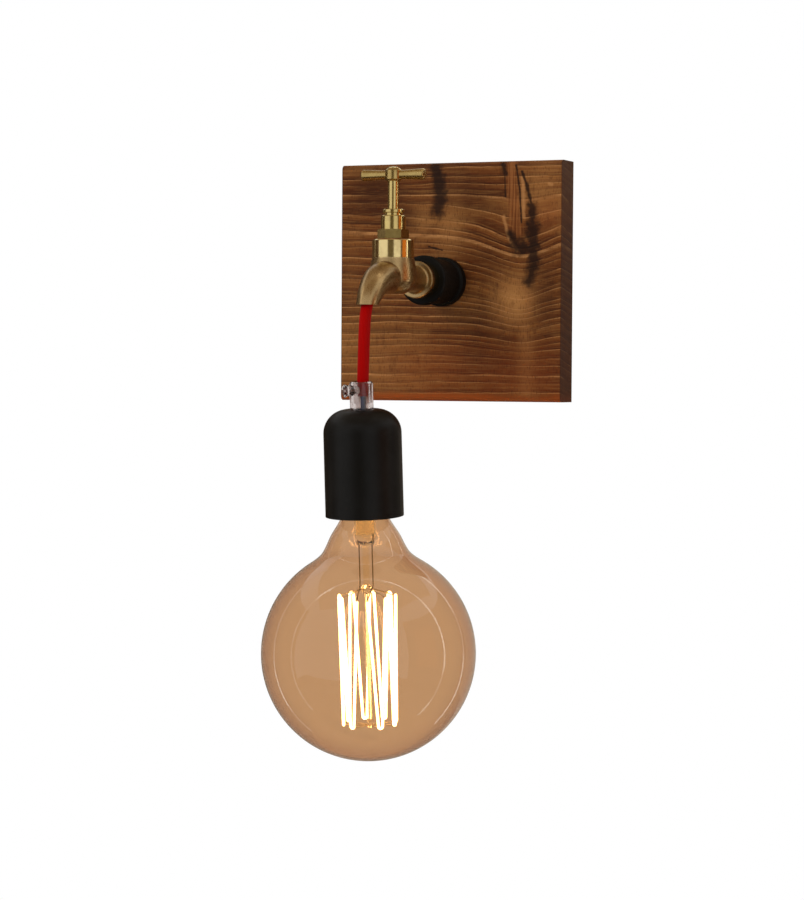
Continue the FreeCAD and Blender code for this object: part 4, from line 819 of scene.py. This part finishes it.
def red_textile():
    """Woven sleeve: two families of yarns that cross round the cord."""
    graph = Graph("red_textile_sleeve")
    across, along, _ = graph.split(graph.node("ShaderNodeNewGeometry").outputs["Normal"])
    _, _, height = graph.split(graph.position())
    turn = graph.math("MULTIPLY", graph.math("ARCTAN2", along, across), WEAVE_YARNS)
    rise = graph.math("MULTIPLY", height, WEAVE_CLIMB)
    one = graph.math("SINE", graph.math("ADD", rise, turn))
    other = graph.math("SINE", graph.math("SUBTRACT", rise, turn))
    weave = graph.math("MAXIMUM", one, other)
    fuzz = graph.noise(graph.position(), FUZZ_SCALE, 2.0, 0.6)
    base = graph.mix(graph.span(weave, -0.2, 1.0), DEEP_RED, YARN_RED)
    base = graph.mix(graph.span(fuzz, 0.5, 0.8, 0.0, 0.4), base, FUZZ_RED)
    graph.surface(Base_Color=base, Roughness=0.8, Specular_IOR_Level=0.08)
    graph.surface(Sheen_Weight=0.06, Sheen_Roughness=0.5, Sheen_Tint=(*SHEEN_RED, 1))
    graph.bump(weave, WEAVE_DEPTH, 0.7, graph.bump(fuzz, FUZZ_DEPTH, 0.4))
    return graph.material


# Clear pieces: how far their uneven polish roughens them
POLISH_SCALE = 300.0
POLISH_ROUGHENS = 0.05


def clear_solid(name, colour, roughness, ior):
    """Clear plastic or glass with a slightly uneven polish."""
    graph = Graph(name)
    fine = graph.noise(graph.position(), POLISH_SCALE, 3.0, 0.5)
    rough = graph.span(fine, *NOISE_RANGE, roughness, roughness + POLISH_ROUGHENS)
    graph.surface(Base_Color=(*colour, 1), Roughness=rough, Transmission_Weight=1.0, IOR=ior)
    return graph.material


# Amber glass, and the threads that glow in it
ENVELOPE_IOR = 1.36
AMBER_FACING = srgb(220, 192, 162)
AMBER_EDGE = srgb(190, 150, 128)
SEED_SCALE = 60.0
SEED_DEPTH = 0.0002
GLOW_PATCH_SCALE = 400.0
GLOW_ORANGE = (1.0, 0.66, 0.30)
GLOW_YELLOW = (1.0, 0.80, 0.50)
GLOW_STRENGTH = 12.0


def globe_glass():
    """Thin amber glass: the tint deepens where the wall is seen edge on."""
    graph = Graph("amber_glass_envelope")
    facing = graph.node("ShaderNodeLayerWeight")
    facing.inputs["Blend"].default_value = 0.5
    edge = graph.span(facing.outputs["Facing"], 0.35, 0.95)
    seeds = graph.noise(graph.position(), SEED_SCALE, 2.0, 0.5)
    tint = graph.mix(edge, AMBER_FACING, AMBER_EDGE)
    graph.surface(Base_Color=tint, Roughness=0.0, Transmission_Weight=1.0, IOR=ENVELOPE_IOR)
    graph.bump(seeds, SEED_DEPTH, 0.12)
    return graph.material


def glowing_thread():
    """The filament's thread, hotter in some places than in others."""
    graph = Graph("glowing_filament_thread")
    patches = graph.noise(graph.position(), GLOW_PATCH_SCALE, 2.0, 0.5)
    glow = graph.mix(graph.span(patches, 0.4, 0.7), GLOW_ORANGE, GLOW_YELLOW)
    graph.surface(Base_Color=(0.25, 0.12, 0.05, 1), Roughness=0.7)
    graph.surface(Emission_Color=glow, Emission_Strength=GLOW_STRENGTH)
    return graph.material


# The round thread of the bulb's cap and its screw shell
THREAD_PITCH = 0.00363
THREAD_DEPTH = 0.0005
THREAD_PATCH_SCALE = 200.0


def threaded(name, colour):
    """Bright thin metal rolled into a round thread, drawn along the pendant's axis."""
    graph = Graph(name)
    x, y, z = graph.split(about_pendant(graph))
    angle = graph.math("ARCTAN2", y, x)
    climb = graph.math("SUBTRACT", graph.math("MULTIPLY", z, 2 * math.pi / THREAD_PITCH), angle)
    wave = graph.math("SINE", climb)
    patches = graph.noise(graph.position(), THREAD_PATCH_SCALE, 3.0, 0.5)
    base = graph.mix(graph.span(patches, *NOISE_RANGE, 0.0, 0.4), colour, DULL_THREAD)
    graph.surface(Base_Color=base, Roughness=0.3, Metallic=1.0)
    graph.bump(wave, THREAD_DEPTH)
    return graph.material


polished_brass = brass("polished_brass", srgb(206, 182, 118), 0.20, 0.35)
plated_steel = turned_metal("zinc_plate", srgb(188, 187, 182), 0.3)
dull_solder = turned_metal("soft_solder", srgb(150, 150, 150), 0.45)
drawn_wire = turned_metal("drawn_wire", srgb(176, 160, 130), 0.3)
cast_black = painted("black_cast_iron", srgb(10, 8, 6), 0.55, 700.0, 0.00012, 0.10)
cup_black = painted("matt_black_coat", srgb(11, 9, 7), 0.42, 1500.0, 0.00003, 0.16)
white_glaze = painted("porcelain_glaze", srgb(214, 212, 204), 0.2, 300.0, 0.00003)
white_moulding = painted("white_moulding", srgb(212, 212, 206), 0.42, 900.0, 0.00003)
brown_sheath = painted("brown_insulation_skin", srgb(64, 32, 20), 0.35, 800.0, 0.00002)
blue_sheath = painted("blue_insulation_skin", srgb(28, 58, 120), 0.35, 800.0, 0.00002)
rubber = painted("black_rubber_skin", srgb(24, 24, 24), 0.7, 900.0, 0.00004)
fibre_ring = painted("pressed_fibre", srgb(112, 52, 36), 0.7, 900.0, 0.00006)
yarn_ring = painted("greased_yarn", srgb(40, 40, 40), 0.6, 1200.0, 0.00015)
black_insulator = painted("fused_black_glass", srgb(18, 18, 20), 0.15, 300.0, 0.00002)
sleeve = red_textile()
grip_plastic = clear_solid("clear_grip_plastic", srgb(204, 192, 188), 0.10, 1.42)
stem_glass = clear_solid("clear_stem_glass", (1.0, 0.93, 0.74), 0.02, 1.5)

looks = {
    "wood_block": stained_pine(),
    "hanger_plates": plated_steel,
    "hanger_screws": turned_metal("bright_screw_zinc", srgb(214, 212, 204), 0.24),
    "terminal_block": white_moulding,
    "terminal_barrels": polished_brass,
    "terminal_screws": plated_steel,
    "terminal_block_screw": plated_steel,
    "recess_core_blue": blue_sheath,
    "recess_core_brown": brown_sheath,
    "pipe_nipple": cast_black,
    "nut_washer": plated_steel,
    "back_nut": polished_brass,
    "pipe_socket": cast_black,
    "tap_body": tap_casting(srgb(170, 143, 100), srgb(220, 197, 140)),
    "bonnet_washer": fibre_ring,
    "bonnet": polished_brass,
    "gland_packing": yarn_ring,
    "gland_nut": polished_brass,
    "cord_inside": sleeve,
    "jumper_washer": rubber,
    "jumper_valve": polished_brass,
    "jumper_nut": polished_brass,
    "spindle": polished_brass,
    # A darker, rougher brass for the T handle
    "t_handle": brass("darker_handle_brass", srgb(182, 156, 98), 0.27, 0.45),
    "handle_screw": polished_brass,
    "cord_flex": sleeve,
    "cord_end": sleeve,
    "cord_grip": grip_plastic,
    "grip_screw": grip_plastic,
    "holder_core_blue": blue_sheath,
    "holder_core_brown": brown_sheath,
    "lampholder_cup": cup_black,
    "holder_bracket": plated_steel,
    "bracket_screws": plated_steel,
    "ceramic_body": white_glaze,
    "screw_shell": threaded("brass_screw_shell", srgb(200, 176, 112)),
    "contact_rivets": polished_brass,
    "centre_contact": polished_brass,
    "holder_terminals": polished_brass,
    "holder_terminal_screws": plated_steel,
    "bulb_glass": globe_glass(),
    "bulb_cap": threaded("nickel_screw_cap", srgb(196, 190, 176)),
    "cap_insulator": black_insulator,
    "cap_button": dull_solder,
    "glass_stem": stem_glass,
    "lead_wires": drawn_wire,
    "support_wires": drawn_wire,
    "filament": glowing_thread(),
}

for name, look in looks.items():
    mesh = nodes[name].data
    mesh.materials.clear()
    mesh.materials.append(look)
for piece in cord_pieces:
    piece.data.materials.append(sleeve)
envelope.data.materials.append(looks["bulb_glass"])
screws.data.materials.append(looks["hanger_screws"])


# Stage: pale floor far below, white surroundings, soft lamps, and studio cards for the metal.
# Azimuths count from the wall's normal, to the right, and CARD_STEP is in degrees too.
FLOOR_BELOW = 1.0
FLOOR_HALF = 1.8
FLOOR_LIFT = 0.5
FLOOR_COLOUR = (0.85, 0.85, 0.85, 1)
WHITE = (1, 1, 1, 1)
BLACK = (0, 0, 0, 1)
ROOM_LIGHT = 0.45
ROOM_SEEN = 1.0
LAMP_AIM = (-0.01, -0.08, -0.14)
CARD_STEP = 6

# Soft lamps: name, place, width and height, and power
LAMPS = [
    ("key", (-0.9, -1.5, 0.9), (0.9, 0.9), 16.0),
    ("fill", (1.5, -1.2, 0.1), (0.8, 1.2), 7.0),
]

# Curved upright cards: name, first and last azimuth in degrees, foot and top, distance and colour
ROOM_BROWN = (0.085, 0.052, 0.028)
SCREENS = [
    ("left_screen", -150, -58, -0.9, 0.85, 1.6, ROOM_BROWN),
    ("front_screen", -6, 28, -0.9, 0.75, 1.6, (0.15, 0.12, 0.07)),
    ("right_screen", 66, 150, -0.9, 0.85, 1.6, ROOM_BROWN),
    ("back_screen", 150, 210, -0.9, 0.85, 1.6, (0.32, 0.26, 0.20)),
    ("warm_screen", 76, 100, -0.5, 0.45, 1.5, (0.70, 0.22, 0.04)),
]

# Level square cards: name, half width, height and colour
LEVEL_CARDS = [
    ("floor_screen", 1.7, -0.95, ROOM_BROWN),
    ("ceiling_screen", 1.3, 1.3, (0.40, 0.29, 0.18)),
    ("glow_screen", 0.28, -0.60, (0.34, 0.15, 0.045)),
]

# Rings of light for the globe to reflect: name, radius, the tube's radius, how far the ring is
# behind the globe's middle (below zero is in front of it), and strength. A noise dims them in places.
RINGS = [
    ("near_ring", 0.652, 0.0117, -0.0405, 6.0),
    ("far_ring", 0.585, 0.0135, 0.306, 3.0),
]
RING_NOISE_SCALE = 2.6
RING_DIMMEST = 0.25
RING_COLOUR = (1, 0.96, 0.9, 1)
RING_RESOLUTION = 16

SQUARE = [(-1, -1), (1, -1), (1, 1), (-1, 1)]


def stage_piece(name, places, faces):
    """A stage piece of flat faces."""
    mesh = bpy.data.meshes.new(name)
    mesh.from_pydata(places, [], faces)
    return put_in_scene(name, mesh)


def stage_floor():
    """A pale floor that keeps the object's shadow, lifted towards white wherever it is seen."""
    low = cad_box[0][2] - FLOOR_BELOW
    places = [(FLOOR_HALF * x, FLOOR_HALF * y, low) for x, y in SQUARE]
    floor = stage_piece("floor", places, [(0, 1, 2, 3)])
    graph = Graph("pale_floor")
    graph.surface(Base_Color=FLOOR_COLOUR, Roughness=0.9, Emission_Color=WHITE)
    rays = graph.node("ShaderNodeLightPath").outputs
    seen = graph.math("MAXIMUM", rays["Is Camera Ray"], rays["Is Transmission Ray"])
    seen = graph.math("MAXIMUM", seen, rays["Is Glossy Ray"])
    graph.surface(Emission_Strength=graph.math("MULTIPLY", seen, FLOOR_LIFT))
    floor.data.materials.append(graph.material)


def surroundings():
    """A soft grey room for light, white wherever the camera, a mirror or glass sees it."""
    world = bpy.data.worlds.new("surroundings")
    bpy.context.scene.world = world
    world.use_nodes = True
    tree = world.node_tree
    background = tree.nodes["Background"]
    rays = tree.nodes.new("ShaderNodeLightPath")
    seen = rays.outputs["Is Camera Ray"]
    for kind in ("Is Glossy Ray", "Is Transmission Ray"):
        most = tree.nodes.new("ShaderNodeMath")
        most.operation = "MAXIMUM"
        tree.links.new(seen, most.inputs[0])
        tree.links.new(rays.outputs[kind], most.inputs[1])
        seen = most.outputs[0]
    level = tree.nodes.new("ShaderNodeMapRange")
    tree.links.new(seen, level.inputs["Value"])
    level.inputs["To Min"].default_value = ROOM_LIGHT
    level.inputs["To Max"].default_value = ROOM_SEEN
    tree.links.new(level.outputs[0], background.inputs["Strength"])
    background.inputs["Color"].default_value = WHITE


def soft_lamp(name, place, size, power):
    """A soft area lamp. Metal and glass show the room instead of the lamp's outline."""
    data = bpy.data.lights.new(name, "AREA")
    data.shape = "RECTANGLE"
    data.size, data.size_y = size
    data.energy = power
    lamp = put_in_scene(name, data)
    lamp.location = place
    lamp.rotation_euler = (Vector(LAMP_AIM) - Vector(place)).to_track_quat("-Z", "Y").to_euler()
    lamp.visible_glossy = False
    lamp.visible_transmission = False


def only_reflected(card):
    """The card is seen in metal and gloss, and neither lights nor shades the object."""
    card.visible_camera = False
    card.visible_diffuse = False
    card.visible_transmission = False
    card.visible_volume_scatter = False
    card.visible_shadow = False


def card_look(name, colour):
    """Dark cloth that glows evenly, so that its reflection has the colour as written."""
    graph = Graph(name)
    graph.surface(Base_Color=BLACK, Roughness=1.0, Specular_IOR_Level=0.0)
    graph.surface(Emission_Color=(*colour, 1), Emission_Strength=1.0)
    return graph.material


def screen(name, first, last, low, high, distance, colour):
    """An upright curved studio card round the tap, between two azimuths in degrees."""
    steps = round((last - first) / CARD_STEP)
    turns = [math.radians(first + (last - first) * step / steps) for step in range(steps + 1)]
    corners = []
    for turn in turns:
        across, ahead = distance * math.sin(turn), -distance * math.cos(turn)
        corners.extend([(across, ahead, low), (across, ahead, high)])
    faces = [(2 * i, 2 * i + 2, 2 * i + 3, 2 * i + 1) for i in range(steps)]
    card = stage_piece(name, corners, faces)
    card.location = (TAP_AXIS.x, TAP_AXIS.y, 0)
    card.data.materials.append(card_look(name + "_cloth", colour))
    only_reflected(card)


def level_card(name, half, height, colour):
    """A square studio card above or below the tap."""
    places = [(TAP_AXIS.x + half * x, TAP_AXIS.y + half * y, height) for x, y in SQUARE]
    card = stage_piece(name, places, [(0, 1, 2, 3)])
    card.data.materials.append(card_look(name + "_cloth", colour))
    only_reflected(card)


def ring_light(name, radius, thickness, behind, strength):
    """A thin uneven ring of light about the globe, square to the photograph's view of it."""
    middle = (Vector(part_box("bulb_glass")[0]) + Vector(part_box("filament")[1])) / 2
    curve = bpy.data.curves.new(name, "CURVE")
    curve.dimensions = "3D"
    curve.bevel_depth = thickness
    spline = curve.splines.new("NURBS")
    corners = [(1, 0), (1, 1), (0, 1), (-1, 1), (-1, 0), (-1, -1), (0, -1), (1, -1)]
    spline.points.add(len(corners) - 1)
    for point, (x, y) in zip(spline.points, corners):
        weight = 1.0 if x * y == 0 else math.sqrt(0.5)
        point.co = (radius * x, radius * y, 0, weight)
    spline.order_u = 3
    spline.use_cyclic_u = True
    spline.use_bezier_u = True
    spline.use_endpoint_u = True
    curve.resolution_u = RING_RESOLUTION
    ring = put_in_scene(name, curve)
    turn = bpy.context.scene.camera.matrix_world.to_3x3()
    ring.matrix_world = Matrix.Translation(middle + turn @ Vector((0, 0, -behind))) @ turn.to_4x4()
    graph = Graph(name + "_tube")
    uneven = graph.noise(graph.position(), RING_NOISE_SCALE, 1.0, 0.5)
    lit = graph.math("MULTIPLY", graph.span(uneven, 0.42, 0.60, RING_DIMMEST), strength)
    graph.surface(Base_Color=BLACK, Emission_Color=RING_COLOUR, Emission_Strength=lit)
    curve.materials.append(graph.material)
    only_reflected(ring)


stage_floor()
surroundings()
for row in LAMPS:
    soft_lamp(*row)
for row in SCREENS:
    screen(*row)
for row in LEVEL_CARDS:
    level_card(*row)
for row in RINGS:
    ring_light(*row)
bpy.context.scene.view_settings.view_transform = "Standard"
